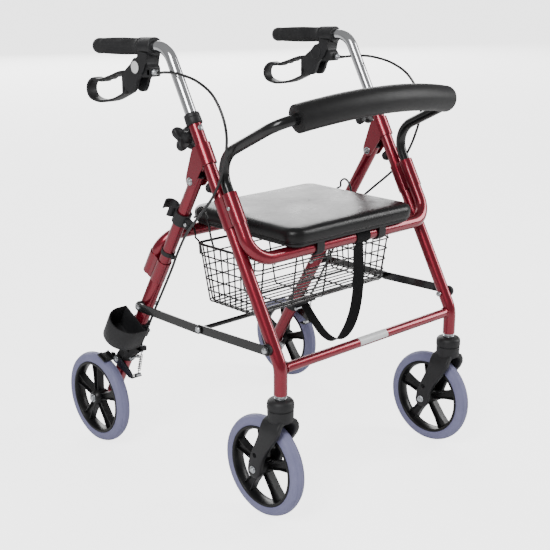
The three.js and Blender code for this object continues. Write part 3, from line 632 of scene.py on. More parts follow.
def webbing_material():
    """Woven black polyester."""
    webbing = Finish("Webbing", (0.007, 0.007, 0.0075), specular=0.15)
    webbing.marks((0.014, 0.014, 0.015), 0.68, 0.86, scale=40.0)
    webbing.relief(webbing.effect("Weave", scale=420.0), 0.25)


def cable_material():
    """Smooth black plastic over the brake cable."""
    cable = Finish("Cable jacket", (0.006, 0.006, 0.0065), coat=0.2, coat_roughness=0.2)
    cable.marks((0.011, 0.011, 0.0115), 0.28, 0.42, scale=60.0)
    cable.relief(cable.plain_noise(700.0), 0.02)


def label_material():
    """Blank white paper label under film."""
    label = Finish("Blank label", (0.78, 0.79, 0.79), coat=0.3, coat_roughness=0.15)
    label.marks((0.66, 0.67, 0.68), 0.34, 0.5, scale=60.0)
    label.relief(label.plain_noise(600.0), 0.02)


def floor_material(colour, glow):
    """Matt studio floor, lit from within like a light table as far as the eye sees it."""
    floor = Finish("Studio floor", colour, specular=0.1)
    floor.marks(tuple(c * 0.985 for c in colour), 0.7, 0.85, scale=1.5)
    floor.shader.inputs["Emission Color"].default_value = (1.0, 1.0, 1.0, 1.0)
    glow_when_seen(floor.tree, glow, 0.0, floor.shader.inputs["Emission Strength"])


def glow_when_seen(tree, glow, always, socket):
    """A strength that is one number for what the eye sees, on top of another for all light."""
    seen = tree.nodes.new("ShaderNodeLightPath")
    strength = tree.nodes.new("ShaderNodeMath")
    strength.operation = "MULTIPLY_ADD"
    strength.inputs[1].default_value = glow
    strength.inputs[2].default_value = always
    tree.links.new(seen.outputs["Is Camera Ray"], strength.inputs[0])
    tree.links.new(strength.outputs[0], socket)


# ------------------------------------------------------------------ front frame
FRONT_STEM_CORNER = Vector((FRAME_OUT, STEM_Y, LEG_POINT[1] + (STEM_Y - LEG_POINT[0]) / FRONT_SLOPE))


def tube_end_ring(solid, at, axis, radius):
    """The rounded lip of a cut tube end."""
    solid.turned(at, axis, [(radius - 1.6, 0.2), (radius - 1.6, 0), (radius, 0), (radius, -1.0)], 32,
                 looped=True)


def twin_sleeve(solid, socket, outwards, low, high):
    """The pressed double sleeve that holds a socket beside a leg, with its folded seam."""
    on_leg = lambda z: socket(z) - outwards * RECEIVER_OFFSET
    up = (socket(high) - socket(low)).normalized()
    solid.hollow_pipe([socket(low), socket(high)], SLEEVE, 1.3, 40)
    solid.hollow_pipe([on_leg(low), on_leg(high)], SLEEVE + 0.4, 1.4, 40)
    middle = on_leg(low) + outwards * (RECEIVER_OFFSET / 2)
    for inner, outer in ((9.8, SLEEVE - 2.0), (2.0 - SLEEVE, -9.8)):
        bridge = [(-4.5, inner), (4.5, inner), (4.5, outer), (-4.5, outer)]
        solid.plate(bridge, 0, (socket(high) - socket(low)).length, middle, (outwards, OUT, up))


def build_front_leg(side):
    """Front leg: sloping tube, bend, and caster stem."""
    leg = Solid()
    top, foot = front_leg(LEG_TOP), Vector((FRAME_OUT, STEM_Y, 256))
    leg.hollow_pipe(bent_path([top, FRONT_STEM_CORNER, foot], [60]), TUBE, 1.1, 40)
    twin_sleeve(leg, front_socket, FRONT_AHEAD, 557, 609)
    tube_end_ring(leg, foot, -UP, TUBE)
    make_pair_piece("front_leg_tube", leg, side, "front_frame", "Frame paint", "front_leg")


def build_hinge_bracket(side):
    """Folded channel round the front leg, with two cheeks down to the hinge bolt."""
    top, low = front_leg(690), front_leg(654)
    y, z = HINGE
    cheek = [(top.y - 1, top.z), (top.y + 11, top.z - 8), (y + 11, z + 10), (y + 12.5, z), (y + 8, z - 10),
             (y, z - 13), (y - 9, z - 9.5), (low.y - 1, low.z)]
    cheek = rounded_outline(cheek, 9)
    bracket = Solid()
    bracket.plate(cheek, FRAME_OUT - 16.2, FRAME_OUT - 13.2)
    bracket.plate(cheek, FRAME_OUT + 13.2, FRAME_OUT + 16.2)
    wrap = sweep(16.2, 0, 180, 20) + sweep(13.1, 180, 0, 20)
    bracket.plate(wrap, 0, (top - low).length, low, (OUT, FRONT_AHEAD, FRONT_UP))
    make_pair_piece("hinge_channel", bracket, side, "front_frame", "Frame paint", "hinge_bracket", bevel=0.7)
    bolt = Solid().bolt(*pin_across(FRAME_OUT + 16.4, FRAME_OUT - 16.4, y, z), 4, 6.8, 4.2, 6.5, 5.0)
    for level in (16.4, -17.2):
        bolt.disc(Vector((FRAME_OUT + level, y, z)), OUT, 7.8, 0.8, 28)
    make_pair_piece("hinge_screw", bolt, side, "front_frame", "Zinc plate", "hinge_bolt", bevel=0.3)
    stop = Solid()
    a, b = front_leg(612), Vector((FRAME_OUT, -76, 612))
    ahead = (b - a).normalized()
    stop.turned(a + ahead * 14.4, ahead, [(0, 0), (9, 0), (10, 2), (10, 9), (7, 13), (0, 13)], 28)
    make_pair_piece("fold_buffer", stop, side, "front_frame", "Grip rubber", slot="black_plastic")


def build_post_collar(side):
    """Black collar pressed on the leg's top, with a lip round the handle post."""
    base = front_leg(LEG_TOP)
    collar = Solid().turned(base, FRONT_UP, [(POST + 0.4, 4), (POST + 0.4, 8.6), (13.2, 9.4), (14.8, 8.4),
                                             (15.4, 6), (15.4, 1.5), (14.9, 0.8), (15.6, 0), (15.9, -11),
                                             (15.2, -12.5), (TUBE + 0.2, -12.5), (TUBE + 0.2, 3)], 48,
                                             looped=True)
    make_pair_piece("collar_cap", collar, side, "front_frame", "Moulded plastic", "post_collar")


def build_height_knob(side):
    """Star knob with a flared hub, and the carriage bolt head on the far side of the leg."""
    root = front_leg(KNOB_Z)
    back = -FRONT_AHEAD
    knob = Solid()
    knob.turned(root, back, [(0, 14.6), (9.5, 14.6), (8.6, 18), (8.4, 24), (10, 29), (14, 33.5), (14, 34),
                             (0, 34)], 32)
    star = []
    for i in range(96):
        angle = 2 * math.pi * i / 96
        lobe = 0.5 + 0.5 * math.cos(4 * (angle - math.pi / 4))
        radius = 16.0 + 13.6 * lobe**0.75
        star.append(Vector((radius * math.cos(angle), radius * math.sin(angle))))
    rings = []
    for level, scale in ((33, 0.80), (34, 0.93), (36, 0.985), (40, 1.0), (44, 0.985), (46.5, 0.93),
                         (48, 0.80), (48.6, 0.55)):
        rings.append([root + back * level + OUT * (p.x * scale) + FRONT_UP * (p.y * scale) for p in star])
    knob.shell(rings)
    knob.turned(root, back, [(0, 48), (8.5, 48), (8, 51), (5, 52), (0, 52)], 32)
    make_pair_piece("star_knob", knob, side, on_side_body(side, "knob"), "Moulded plastic", "height_knob",
                    sharp=50)
    cap = Solid().turned(root, FRONT_AHEAD, [(0, TUBE - 0.8), (5.6, TUBE - 0.8), (5.4, TUBE + 0.6),
                                             (4.0, TUBE + 1.6), (0, TUBE + 2.0)], 32)
    make_pair_piece("knob_bolt_head", cap, side, "front_frame", "Zinc plate")


def build_seat_bars():
    """The two U-shaped tubes under the seat, let into the legs' sockets."""
    for name, socket, insert, bend, body in (("front_seat_bar", front_socket, 563, 45, "front_frame"),
                                             ("rear_seat_bar", rear_socket, 425, 42, "rear_frame")):
        end, corner = socket(insert), socket(SEAT_BAR_Z)
        path = bent_path([end, corner, mirrored(corner), mirrored(end)], [bend, bend], 14)
        bar = Solid().pipe(path, TUBE, 40)
        make_piece(name + "_tube", bar, MIDDLE, body, "Frame paint", [name])


def build_cross_tube():
    """Lower cross tube between the front legs, with its weld rings and a blank label."""
    y, z = STEM_Y + 3, 303.0
    tube = Solid().pipe([Vector((-FRAME_OUT + 9, y, z)), Vector((0, y, z)), Vector((FRAME_OUT - 9, y, z))],
                        CROSS_TUBE, 40)
    for sign in (1, -1):
        at = Vector((sign * (FRAME_OUT - 13.5), y, z))
        tube.turned(at, OUT * -sign, [(CROSS_TUBE - 0.4, 0), (CROSS_TUBE + 1.8, 0.4), (CROSS_TUBE + 1.4, 2.4),
                                      (CROSS_TUBE - 0.4, 3.8)], 40, looped=True)
    make_piece("cross_tube", tube, MIDDLE, "front_frame", "Frame paint", ["front_cross_tube"])
    wrap = band(CROSS_TUBE + 0.15, CROSS_TUBE + 0.4, 70, 196, 20)
    label = Solid().plate(wrap, -38, 42, Vector((0, y, z)))
    make_piece("blank_label", label, MIDDLE, "front_frame", "Blank label")


# ------------------------------------------------------------------ rear frame
def build_rear_leg(side):
    """Rear leg: upper tube let into a thicker lower tube, with the sleeve for the rear seat bar."""
    leg = Solid()
    top = rear_leg(HINGE[1]) + REAR_UP * 14
    joint = rear_leg(421)
    foot = rear_leg(WHEEL_RADIUS) - REAR_UP * 16
    leg.hollow_pipe(spaced(top, joint, 60), TUBE, 1.1, 40)
    length = (joint - foot).length
    leg.turned(foot, REAR_UP, [(SLEEVE - 1.6, 3), (SLEEVE - 1.6, 0), (SLEEVE - 0.8, 0), (SLEEVE, 0.8),
                               (SLEEVE, length - 1.2), (SLEEVE - 0.8, length), (TUBE + 0.05, length),
                               (TUBE + 0.05, length - 4)], 48, looped=True)
    leg.turned(foot, REAR_UP, [(0, 1.5), (SLEEVE - 1.7, 1.5), (SLEEVE - 1.7, 6), (0, 6)], 32)
    twin_sleeve(leg, rear_socket, REAR_BACK, 411, 456)
    make_pair_piece("rear_leg_tube", leg, side, "rear_frame", "Frame paint", "rear_leg")
    cap = Solid().turned(top, REAR_UP, [(0, -6), (TUBE - 1.2, -6), (TUBE - 1.2, 0.1), (TUBE + 0.2, 0.1),
                                        (TUBE + 0.2, 1.4), (TUBE - 2, 2.6), (0, 2.9)], 32)
    make_pair_piece("rear_leg_plug", cap, side, "rear_frame", "Moulded plastic")


def build_braces():
    """Flat black links at the sides, the rod between their middle pivots, and their bolts and spacers."""
    tie = Solid()
    half, thick, front_out, rear_out = 9.0, 3.0, 267.0, 270.5
    for placed in (Vector, mirrored):
        tie.add(Solid().plate(bar_outline(FRONT_PIVOT, MID_PIVOT, half), front_out, front_out + thick),
                placed)
    tie.pipe([Vector((-front_out - 1, *MID_PIVOT)), Vector((0, *MID_PIVOT)),
              Vector((front_out + 1, *MID_PIVOT))], 4.6, 28)
    make_piece("front_brace_links", tie, MIDDLE, "front_brace", "Black enamel", ["front_brace"], bevel=0.5)
    for side in (RIGHT, LEFT):
        link = Solid().plate(bar_outline(MID_PIVOT, REAR_PIVOT, half), rear_out, rear_out + thick)
        body = on_side_body(side, "rear_link")
        make_pair_piece("rear_brace_strip", link, side, body, "Black enamel", "rear_brace_link", bevel=0.5)
        ends = (("front", FRONT_PIVOT, FRAME_OUT + TUBE, front_out, "front_brace"),
                ("rear", REAR_PIVOT, FRAME_OUT + SLEEVE, rear_out, body))
        for name, pivot, surface, far, owner in ends:
            spacer = Solid().turned(Vector((surface + 0.2, *pivot)), OUT,
                                    [(3.4, 0), (10.6, 0), (11.2, 1), (11.2, far - surface - 1.2),
                                     (10.6, far - surface - 0.2), (3.4, far - surface - 0.2)], 36,
                                     looped=True)
            make_pair_piece(name + "_brace_spacer", spacer, side, owner, "Moulded plastic")
            screw = Solid().bolt(*pin_across(far + 3.1, FRAME_OUT - 15.4, *pivot), 3, 6.4, 3.6, 5.6, 4.6)
            make_pair_piece(name + "_brace_screw", screw, side, name + "_frame", "Zinc plate", bevel=0.3)
        rivet = Solid().turned(Vector((rear_out + 3, *MID_PIVOT)), OUT,
                               [(0, -3.4), (5.2, -3.4), (6.2, 0), (6.2, 0.6), (4.2, 2.6), (0, 3.2)], 28)
        make_pair_piece("tie_rod_cap", rivet, side, "front_brace", "Zinc plate")


# ------------------------------------------------------------------ wheels and casters
def tyre_profile():
    """Half-round tyre with rounded shoulders and three shallow grooves round the tread."""
    profile = [(80.4, -12.0), (82.5, -13.2), (86.0, -13.9), (90.0, -13.8), (93.5, -12.8), (96.3, -10.9)]
    groove = {-7.0: 0.7, 0.0: 0.6, 7.0: 0.7}
    for step in range(-34, 35):
        width = step * 0.25
        crown = WHEEL_RADIUS - 0.034 * width * width
        cut = sum(depth * max(0.0, 1 - ((width - at) / 0.75) ** 2) for at, depth in groove.items())
        profile.append((crown - cut, width))
    return profile + [(r, -w) for r, w in reversed(profile[:6])]


def build_wheel(end, side):
    """Spoked wheel with its tyre, at the front or the rear."""
    out = FRONT_WHEEL_OUT if end == "front" else REAR_WHEEL_OUT
    y = -WHEELBASE if end == "front" else WHEELBASE
    hub_half = 17.8 if end == "front" else 16.8
    centre = Vector((out, y, WHEEL_RADIUS))
    body = on_side_body(side, end + "_wheel")
    tyre = Solid().turned(centre, OUT, tyre_profile(), 128, looped=True)
    make_pair_piece(end + "_tyre_ring", tyre, side, body, "Tyre", end + "_tyre", sharp=60)
    wheel = Solid()
    wheel.turned(centre, OUT, [(80, -12.6), (80, 12.6), (76.5, 13.2), (74.6, 12.6), (73.6, 10.5), (71.6, 4.0),
                               (71.0, 0), (71.6, -4.0), (73.6, -10.5), (74.6, -12.6), (76.5, -13.2)], 96,
                               looped=True)
    wheel.turned(centre, OUT, [(5.6, -hub_half), (12.5, -hub_half), (13.5, -hub_half + 1), (17.5, -9.5),
                               (18.5, 0), (17.5, 9.5), (13.5, hub_half - 1), (12.5, hub_half),
                               (5.6, hub_half)], 48, looped=True)
    for spoke in range(5):
        angle = math.radians(90 + 72 * spoke)
        radial = Vector((0, math.cos(angle), math.sin(angle)))
        across = OUT.cross(radial)
        axes = (radial, across, OUT)
        wheel.plate([(13, -6.4), (73, -9.8), (73, 9.8), (13, 6.4)], -3.2, 3.2, centre, axes)
        for sign in (1, -1):
            rib = [(13, sign * 4.4), (50, sign * 6.0), (73, sign * 9.2), (73, sign * 12.4), (50, sign * 8.4),
                   (13, sign * 7.2)]
            wheel.plate(rib, -8.4, 8.4, centre, axes)
    make_pair_piece(end + "_wheel_spokes", wheel, side, body, "Wheel plastic", end + "_wheel", bevel=0.9)


# The fork's band from the foot of one blade to its crown: how far across, how high, how far it leans from the
# wheel's middle towards the stem, and its half width and half thickness.
FORK_BAND = ((24.7, 82.6, 0.0, 4.0, 4.4), (24.7, 83.6, 0.0, 8.0, 5.4), (24.7, 86.4, 0.0, 12.0, 6.0),
             (24.7, 91.0, 0.0, 15.0, 6.2), (24.7, 98.0, 0.01, 16.6, 6.2), (24.7, 112, 0.06, 16.6, 6.2),
             (24.8, 130, 0.22, 16.8, 6.2), (24.9, 148, 0.46, 18.4, 6.3), (25.0, 164, 0.70, 20.6, 6.4),
             (25.0, 177, 0.88, 22.4, 6.5), (24.6, 187, 0.97, 23.2, 6.5), (22.8, 196, 1.0, 23.4, 6.3),
             (19.0, 202.6, 1.0, 23.2, 6.0), (13.0, 206.6, 1.0, 22.6, 5.4), (6.0, 208, 1.0, 22.2, 4.8))


def fork_ring(sign, across, z, lean, half, thick, heading):
    """A rounded-rectangle ring of the fork's band, square to the band."""
    middle = Vector((FRONT_WHEEL_OUT + sign * across, -WHEELBASE + (STEM_Y + 2 + WHEELBASE) * lean, z))
    proud = Vector((heading.z, 0, -heading.x))
    corner = min(3.6, thick * 0.7, half * 0.7)
    ring = []
    for quarter, (sy, sn) in enumerate(((1, 1), (-1, 1), (-1, -1), (1, -1))):
        for angle in arc(90 * quarter, 90 * quarter + 90, 5):
            fore = sy * (half - corner) + corner * math.cos(angle)
            shift = sn * (thick - corner) + corner * math.sin(angle)
            ring.append(middle + Vector((0, fore, 0)) + proud * shift)
    return ring


def build_fork(side):
    """Moulded caster fork with its capped head, and the axle screw and nut."""
    rows = [(-1, *row) for row in FORK_BAND] + [(1, *row) for row in reversed(FORK_BAND)]
    centres = [Vector((row[0] * row[1], 0, row[2])) for row in rows]
    rings = []
    for i, row in enumerate(rows):
        rings.append(fork_ring(*row, heading_at(centres, i)))
    piece = make_pair_piece("fork_blades", Solid().shell(rings), side, on_side_body(side, "caster"),
                            "Moulded plastic", "caster_fork", sharp=50)
    hole = Solid().disc(Vector((FRONT_WHEEL_OUT - 40, -WHEELBASE - 5, 131)), OUT, 5.0, 80, 28)
    drill(piece, side_mesh("hole", hole, side))
    axle_y = -WHEELBASE
    head = Solid().turned(Vector((FRAME_OUT, STEM_Y, 204)), UP,
                          [(0, 0), (21, 0), (24.4, 3), (24.8, 23), (23.2, 24), (23.2, 25.6), (25.4, 26.6),
                           (25.4, 36), (24.6, 39.5), (22, 42.5), (17, 44.4), (0, 44.8)], 56)
    make_pair_piece("fork_head", head, side, on_side_body(side, "caster"), "Moulded plastic")
    nut = Solid()
    stem = Vector((FRAME_OUT, STEM_Y, 249.2))
    nut.disc(stem, UP, 12, 1.4, 40)
    nut.turned(stem, UP, [(0, 1.4), (10.2, 1.4), (10.2, 6.0), (8.8, 6.8), (0, 6.8)], 6)
    make_pair_piece("stem_hex", nut, side, "front_frame", "Zinc plate", "stem_nut", bevel=0.4)
    screw = Solid().bolt(*pin_across(FRONT_WHEEL_OUT + 31.6, FRONT_WHEEL_OUT - 31.6, axle_y, WHEEL_RADIUS), 4,
                         5.6, 4.2, 5.8, 4.6)
    for level in (31.1, -32.0):
        screw.disc(Vector((FRONT_WHEEL_OUT + level, axle_y, WHEEL_RADIUS)), OUT, 7.2, 0.9, 32)
    make_pair_piece("front_axle_screw", screw, side, on_side_body(side, "caster"), "Zinc plate", "front_axle",
                    bevel=0.3)


def build_rear_axle(side):
    """Rear axle screw through the leg's foot, with washers, a spacer and its nut."""
    at = (WHEELBASE, WHEEL_RADIUS)
    screw = Solid().bolt(*pin_across(REAR_WHEEL_OUT + 18.2, FRAME_OUT - SLEEVE - 0.6, *at), 5, 6.8, 5.0, 7.0,
                         5.0)
    screw.disc(Vector((REAR_WHEEL_OUT + 17.2, *at)), OUT, 8.8, 1.0, 36)
    screw.disc(Vector((FRAME_OUT + SLEEVE + 0.2, *at)), OUT, 9.6, 4.2, 32)
    make_pair_piece("rear_axle_screw", screw, side, "rear_frame", "Zinc plate", "rear_axle", bevel=0.3)


# ------------------------------------------------------------------ brakes at the rear wheels
def build_wheel_brake(side):
    """Clamped bracket, pivoting shoe and arm, cable stop, return spring and clamp screw."""
    bracket = Solid()
    low, high = rear_leg(202), rear_leg(226)
    bracket.hollow_pipe([low, low.lerp(high, 0.5), high], 18, 3.4, 40)
    arm = rounded_outline([(168, 202), (177, 226), (160, 234), (135, 241), (119, 241), (119, 231), (133, 226),
                           (148, 216)], 3)
    bracket.plate(arm, FRAME_OUT + 8.5, FRAME_OUT + 12.5)
    bracket.plate(arm, FRAME_OUT - 2.5, FRAME_OUT + 1.5)
    bracket.plate(rounded_outline([(119, 231), (119, 241), (137, 241), (137, 231)], 2), FRAME_OUT - 2.5,
                  FRAME_OUT + 12.5)
    bracket.plate(bar_outline((184, 212), BRAKE_PIVOT, 9), FRAME_OUT + 13.2, FRAME_OUT + 18.8)
    make_pair_piece("brake_clamp", bracket, side, "rear_frame", "Moulded plastic", "brake_bracket", bevel=0.8)
    body = on_side_body(side, "brake_shoe")
    lever = Solid()
    plate_out = (FRAME_OUT + 19.2, FRAME_OUT + 22.5)
    lever.plate(rounded_outline([(188, 206), (207, 206), (213, 196), (206, 187), (196, 185), (150, 165),
                                 (141, 171), (146, 181)], 4), *plate_out)
    shoe = []
    tilt = math.atan2(0.954, -0.3)
    for first, turn, low, rise in ((7.0, -15.0, 101.8, 2.4), (-8.0, 15.0, 107.0, -1.6)):
        for step in range(9):
            angle = tilt + math.radians(first + turn * step / 8)
            lift = low + rise * step / 8
            shoe.append((WHEELBASE + lift * math.cos(angle), WHEEL_RADIUS + lift * math.sin(angle)))
    lever.plate(shoe, FRAME_OUT + 19.2, REAR_WHEEL_OUT + 13)
    for out in (FRAME_OUT + 24, REAR_WHEEL_OUT + 6):
        rib = [shoe[9], shoe[17], (shoe[17][0] - 2, shoe[17][1] + 5), (shoe[11][0], shoe[11][1] + 7)]
        lever.plate(rib, out, out + 2.4)
    lever.plate(rounded_outline([(200, 197), (203, 209), (216, 208), (212, 196)], 3), *plate_out)
    lever.plate([(142, 166), (158, 166), (158, 169), (142, 169)], FRAME_OUT - 4, FRAME_OUT + 22)
    make_pair_piece("brake_shoe_arm", lever, side, body, "Black enamel", "brake_arm", bevel=0.6)
    screw = Solid().bolt(*pin_across(FRAME_OUT + 23.4, FRAME_OUT + 13, *BRAKE_PIVOT), 3.4, 6.4, 3.8)
    screw.disc(Vector((FRAME_OUT + 22.5, *BRAKE_PIVOT)), OUT, 8.2, 0.9, 28)
    make_pair_piece("brake_pivot_screw", screw, side, body, "Zinc plate", bevel=0.3)
    fittings = Solid()
    stop = Vector((FRAME_OUT + 5, 127, 229))
    down = Vector((0, 0.26, -0.966))
    fittings.turned(Vector((FRAME_OUT + 5, 127, 242.5)), -UP,
                    [(0, 0), (4.6, 0), (4.6, 4), (3.0, 4.4), (3.0, 16), (0, 16)], 20)
    make_pair_piece("brake_cable_stop", fittings, side, "rear_frame", "Zinc plate")
    foot = Vector((FRAME_OUT + 5, 144, 171))
    nut = Solid().turned(foot, OUT, [(0, -6), (4.2, -6), (4.2, 6), (0, 6)], 6)
    make_pair_piece("brake_cable_nut", nut, side, body, "Zinc plate", bevel=0.3)
    spring = Solid().pipe([stop + (foot - stop) * (step / 8) for step in range(9)], 1.0, 10)
    coil, steps, turns, radius, length = [], 130, 9, 3.2, 40
    behind = Vector((0, 0.966, 0.26))
    for step in range(steps + 1):
        along, turn = step / steps * length, math.radians(360 * turns * step / steps)
        middle = stop + down * (along + 8)
        coil.append(middle + OUT * (radius * math.cos(turn)) + behind * (radius * math.sin(turn)))
    spring.pipe(coil, 0.75, 8)
    piece = make_pair_piece("brake_spring", spring, side, None, "Black enamel", slot="zinc_steel")
    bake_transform(piece)
    clamp_screw = Solid()
    across = rear_leg(214, FRAME_OUT) - REAR_BACK * 20.5
    clamp_screw.bolt(across + OUT * 9, across - OUT * 9, 2.6, 4.6, 3, 4.4, 3.4)
    make_pair_piece("brake_clamp_screw", clamp_screw, side, "rear_frame", "Zinc plate", bevel=0.3)


# ------------------------------------------------------------------ handles
def build_handle_post(side):
    """Bent chrome tube with its row of height holes at the back."""
    corner = Vector((FRAME_OUT, *GRIP_BEND))
    path = bent_path([front_leg(POST_FOOT), corner, grip_line(243)], [45], 20)
    post = Solid().pipe(path, POST, 44)
    piece = make_pair_piece("handle_tube", post, side, on_side_body(side, "handle"), "Chrome", "handle_post")
    holes = Solid()
    for step in range(7):
        at = front_leg(600) + FRONT_UP * (HOLE_PITCH * step + 8)
        holes.pipe([at - FRONT_AHEAD * 6, at - FRONT_AHEAD * 15], 3.4, 20)
    drill(piece, side_mesh("holes", holes, side))


def build_grip(side):
    """Rubber grip: swelling in the palm, fine ribs along it, and a domed end."""
    start = grip_line(92.3)
    length = (248 - 92.3) / GRIP_AXIS.y
    profile = [(0.0, 15.9), (1.0, 17.0), (5.0, 17.2), (7.0, 16.6), (9.0, 15.7), (24.0, 15.3), (60.0, 16.2),
               (95.0, 15.9), (length - 26, 14.9), (length - 22, 14.6), (length - 20, 15.4),
               (length - 9, 15.5), (length - 4, 14.0), (length - 1.2, 9.6), (length, 4.0)]
    up = GRIP_AXIS.cross(OUT).normalized()
    rings = []
    for (a, ra), (b, rb) in zip(profile, profile[1:]):
        count = max(1, round((b - a) / 6))
        for step in range(count):
            rings.append((a + (b - a) * step / count, ra + (rb - ra) * step / count))
    rings.append(profile[-1])
    grip = []
    sides = 144
    for along, radius in rings:
        fade = max(0.0, min(1.0, (along - 10) / 5, (length - 23 - along) / 5))
        ring = []
        for i in range(sides):
            angle = 2 * math.pi * i / sides
            reach = radius + 0.42 * fade * math.cos(angle * 36)
            ring.append(start + GRIP_AXIS * along + (OUT * math.cos(angle) + up * math.sin(angle)) * reach)
        grip.append(ring)
    make_pair_piece("ribbed_grip", Solid().shell(grip), side, on_side_body(side, "handle"), "Grip rubber",
                    "hand_grip", sharp=60)


def build_brake_housing(side):
    """Brake housing: clamp round the bar, neck down to the lever's pivot, and the cable port."""
    housing = Solid()
    housing.turned(grip_line(54), GRIP_AXIS, [(POST + 0.3, 0), (16.4, 0), (17.6, 1.2), (17.6, 36.4),
                                              (16.6, 37.4), (POST + 0.3, 37.4)], 48, looped=True)
    neck = rounded_outline([(57, 853), (65, 838), (65, 827), (58, 821), (58, 803), (82, 801), (83, 806),
                            (83, 838), (91, 840), (91, 853)], 3)
    cheek = rounded_outline([(60, 848), (65, 836), (66, 826), (74, 812), (83, 806), (94, 795), (98, 782),
                             (107, 770), (122, 769), (143, 784), (143, 799), (131, 813), (112, 826),
                             (103, 837), (91, 838), (90, 850)], 6)
    housing.plate(neck, FRAME_OUT - 13, FRAME_OUT + 13)
    for sign in (1, -1):
        low, high = sorted((FRAME_OUT + sign * 9.4, FRAME_OUT + sign * 17))
        housing.plate(cheek, low, high)
        boss = Vector((FRAME_OUT + sign * 16.5, *LEVER_PIVOT))
        housing.turned(boss, OUT * sign, [(0, 0), (14.6, 0), (14.6, 1.0), (13.6, 1.6), (12.4, 1.6),
                                          (12.2, 1.0), (0, 1.0)], 48)
    housing.pipe([Vector((FRAME_OUT - 12, *LEVER_PIVOT)), Vector((FRAME_OUT + 12, *LEVER_PIVOT))], 3.5, 24)
    port = rounded_outline([(-8, -8), (8, -8), (8, 8), (-8, 8)], 3)
    housing.plate(port, 56.5, 66, Vector((FRAME_OUT + 5, 0, 812)), (OUT, UP, BACK))
    body = on_side_body(side, "handle")
    make_pair_piece("housing_body", housing, side, body, "Moulded plastic", "brake_housing", bevel=1.2)
    disc = Solid().turned(Vector((FRAME_OUT + 17.5, *LEVER_PIVOT)), OUT,
                          [(0, 0), (11.8, 0), (11.8, 0.3), (11.4, 0.45), (0, 0.45)], 48)
    make_pair_piece("blank_disc", disc, side, body, "Blank label", slot="black_plastic")
    adjuster = Solid()
    ahead = -BACK
    at = Vector((FRAME_OUT + 5, 57.2, 812))
    adjuster.turned(at, ahead, [(0, 0), (6.2, 0), (6.2, 3.2), (5.6, 3.8), (0, 3.8)], 6)
    profile = [(0, 3.8), (4.8, 3.8)]
    for step in range(8):
        profile += [(4.8 if step % 2 else 4.2, 4.4 + step * 0.75)]
    adjuster.turned(at, ahead, profile + [(4.4, 11.2), (3.1, 13.6), (0, 13.6)], 28)
    make_pair_piece("barrel_adjuster", adjuster, side, body, "Zinc plate", "cable_adjuster", bevel=0.2)


FINGER_PITCH = 21.0


def build_brake_lever(side):
    """Loop lever with finger grooves, and the tongue that turns in the housing."""
    loop = [(142, 803.5), (155, 805.5), (170, 802), (188, 796), (206, 790.5), (222, 786), (240, 784),
            (254, 785.5), (266, 779.5), (273.5, 769.5), (273.5, 757.5), (266, 748), (252, 743.5), (236, 742),
            (218, 743.5), (200, 746.5), (182, 751), (165, 757.5), (150, 764), (141, 771)]
    corners = [Vector((y, z)) for y, z in loop]
    lever = Solid()
    outline, count = [], len(corners)
    for i in range(count):
        a, b, c, d = (corners[(i + k - 1) % count] for k in range(4))
        for step in range(6):
            outline.append(spline_point(a, b, c, d, step / 6))
    rings = []
    total = len(outline)
    for i, point in enumerate(outline):
        heading = (outline[(i + 1) % total] - outline[i - 1]).normalized()
        normal = Vector((-heading.y, heading.x))
        grooved = point.y > 775 and 150 < point.x < 262
        finger = 0.95 * (1 - math.cos((point.x - 150) / FINGER_PITCH * 2 * math.pi)) if grooved else 0.0
        inner, outer = 2.6 + finger, 3.0
        half = 12.0
        ring = []
        for across, level in ((-half, 0.72), (-half + 2.2, 1), (0, 1.04), (half - 2.2, 1), (half, 0.72)):
            ring.append((across, outer * level))
        for across, level in ((half, -0.72), (half - 2.2, -1), (0, -1.04), (-half + 2.2, -1), (-half, -0.72)):
            ring.append((across, inner * level))
        flat = [(point + normal * shift, across) for across, shift in ring]
        rings.append([Vector((FRAME_OUT + across, at.x, at.y)) for at, across in flat])
    lever.shell(rings, looped=True)
    tongue = [(150, 809), (131, 812.5), (106, 828), (99, 830.4), (91, 827), (87.7, 819.4), (91, 812),
              (99, 808.4), (112, 799), (138, 772), (150, 762)]
    lever.plate(rounded_outline(tongue, 4), FRAME_OUT - 8.8, FRAME_OUT + 8.8)
    wide = rounded_outline([(151, 807), (145.5, 807), (145.5, 767), (151, 764)], 2)
    lever.plate(wide, FRAME_OUT - 12, FRAME_OUT + 12)
    make_pair_piece("lever_loop", lever, side, on_side_body(side, "lever"), "Moulded plastic", "brake_lever",
                    bevel=0.7, sharp=42)


# The brake cable's route from the adjuster: forward in a loop, down outside the leg, and along the rear leg.
CABLE_ROUTE = [(252, 43.2, 812), (252.5, 37, 812.3), (258, 21, 814.5), (262.6, 3, 816.5), (264.5, -22, 817.5),
               (265.5, -54, 815), (266, -90, 808), (267, -128, 792), (268, -152, 770), (269, -168, 744),
               (269, -174, 719), (268, -172, 697), (267, -167, 675), (266, -152, 637), (265.5, -130, 602),
               (263, -98, 570), (257, -58, 535), (252, -30, 509), (248, -8, 482), (247, 8, 457),
               (247.5, 22, 430), (249, 48, 384), (251, 82, 325), (252, 108, 278), (252, 126, 248),
               (252, 127, 241.6)]
CABLE_SPLIT = 13  # the two lengths meet here, where the cable lies beside the front leg
CABLE_RADIUS = 2.6


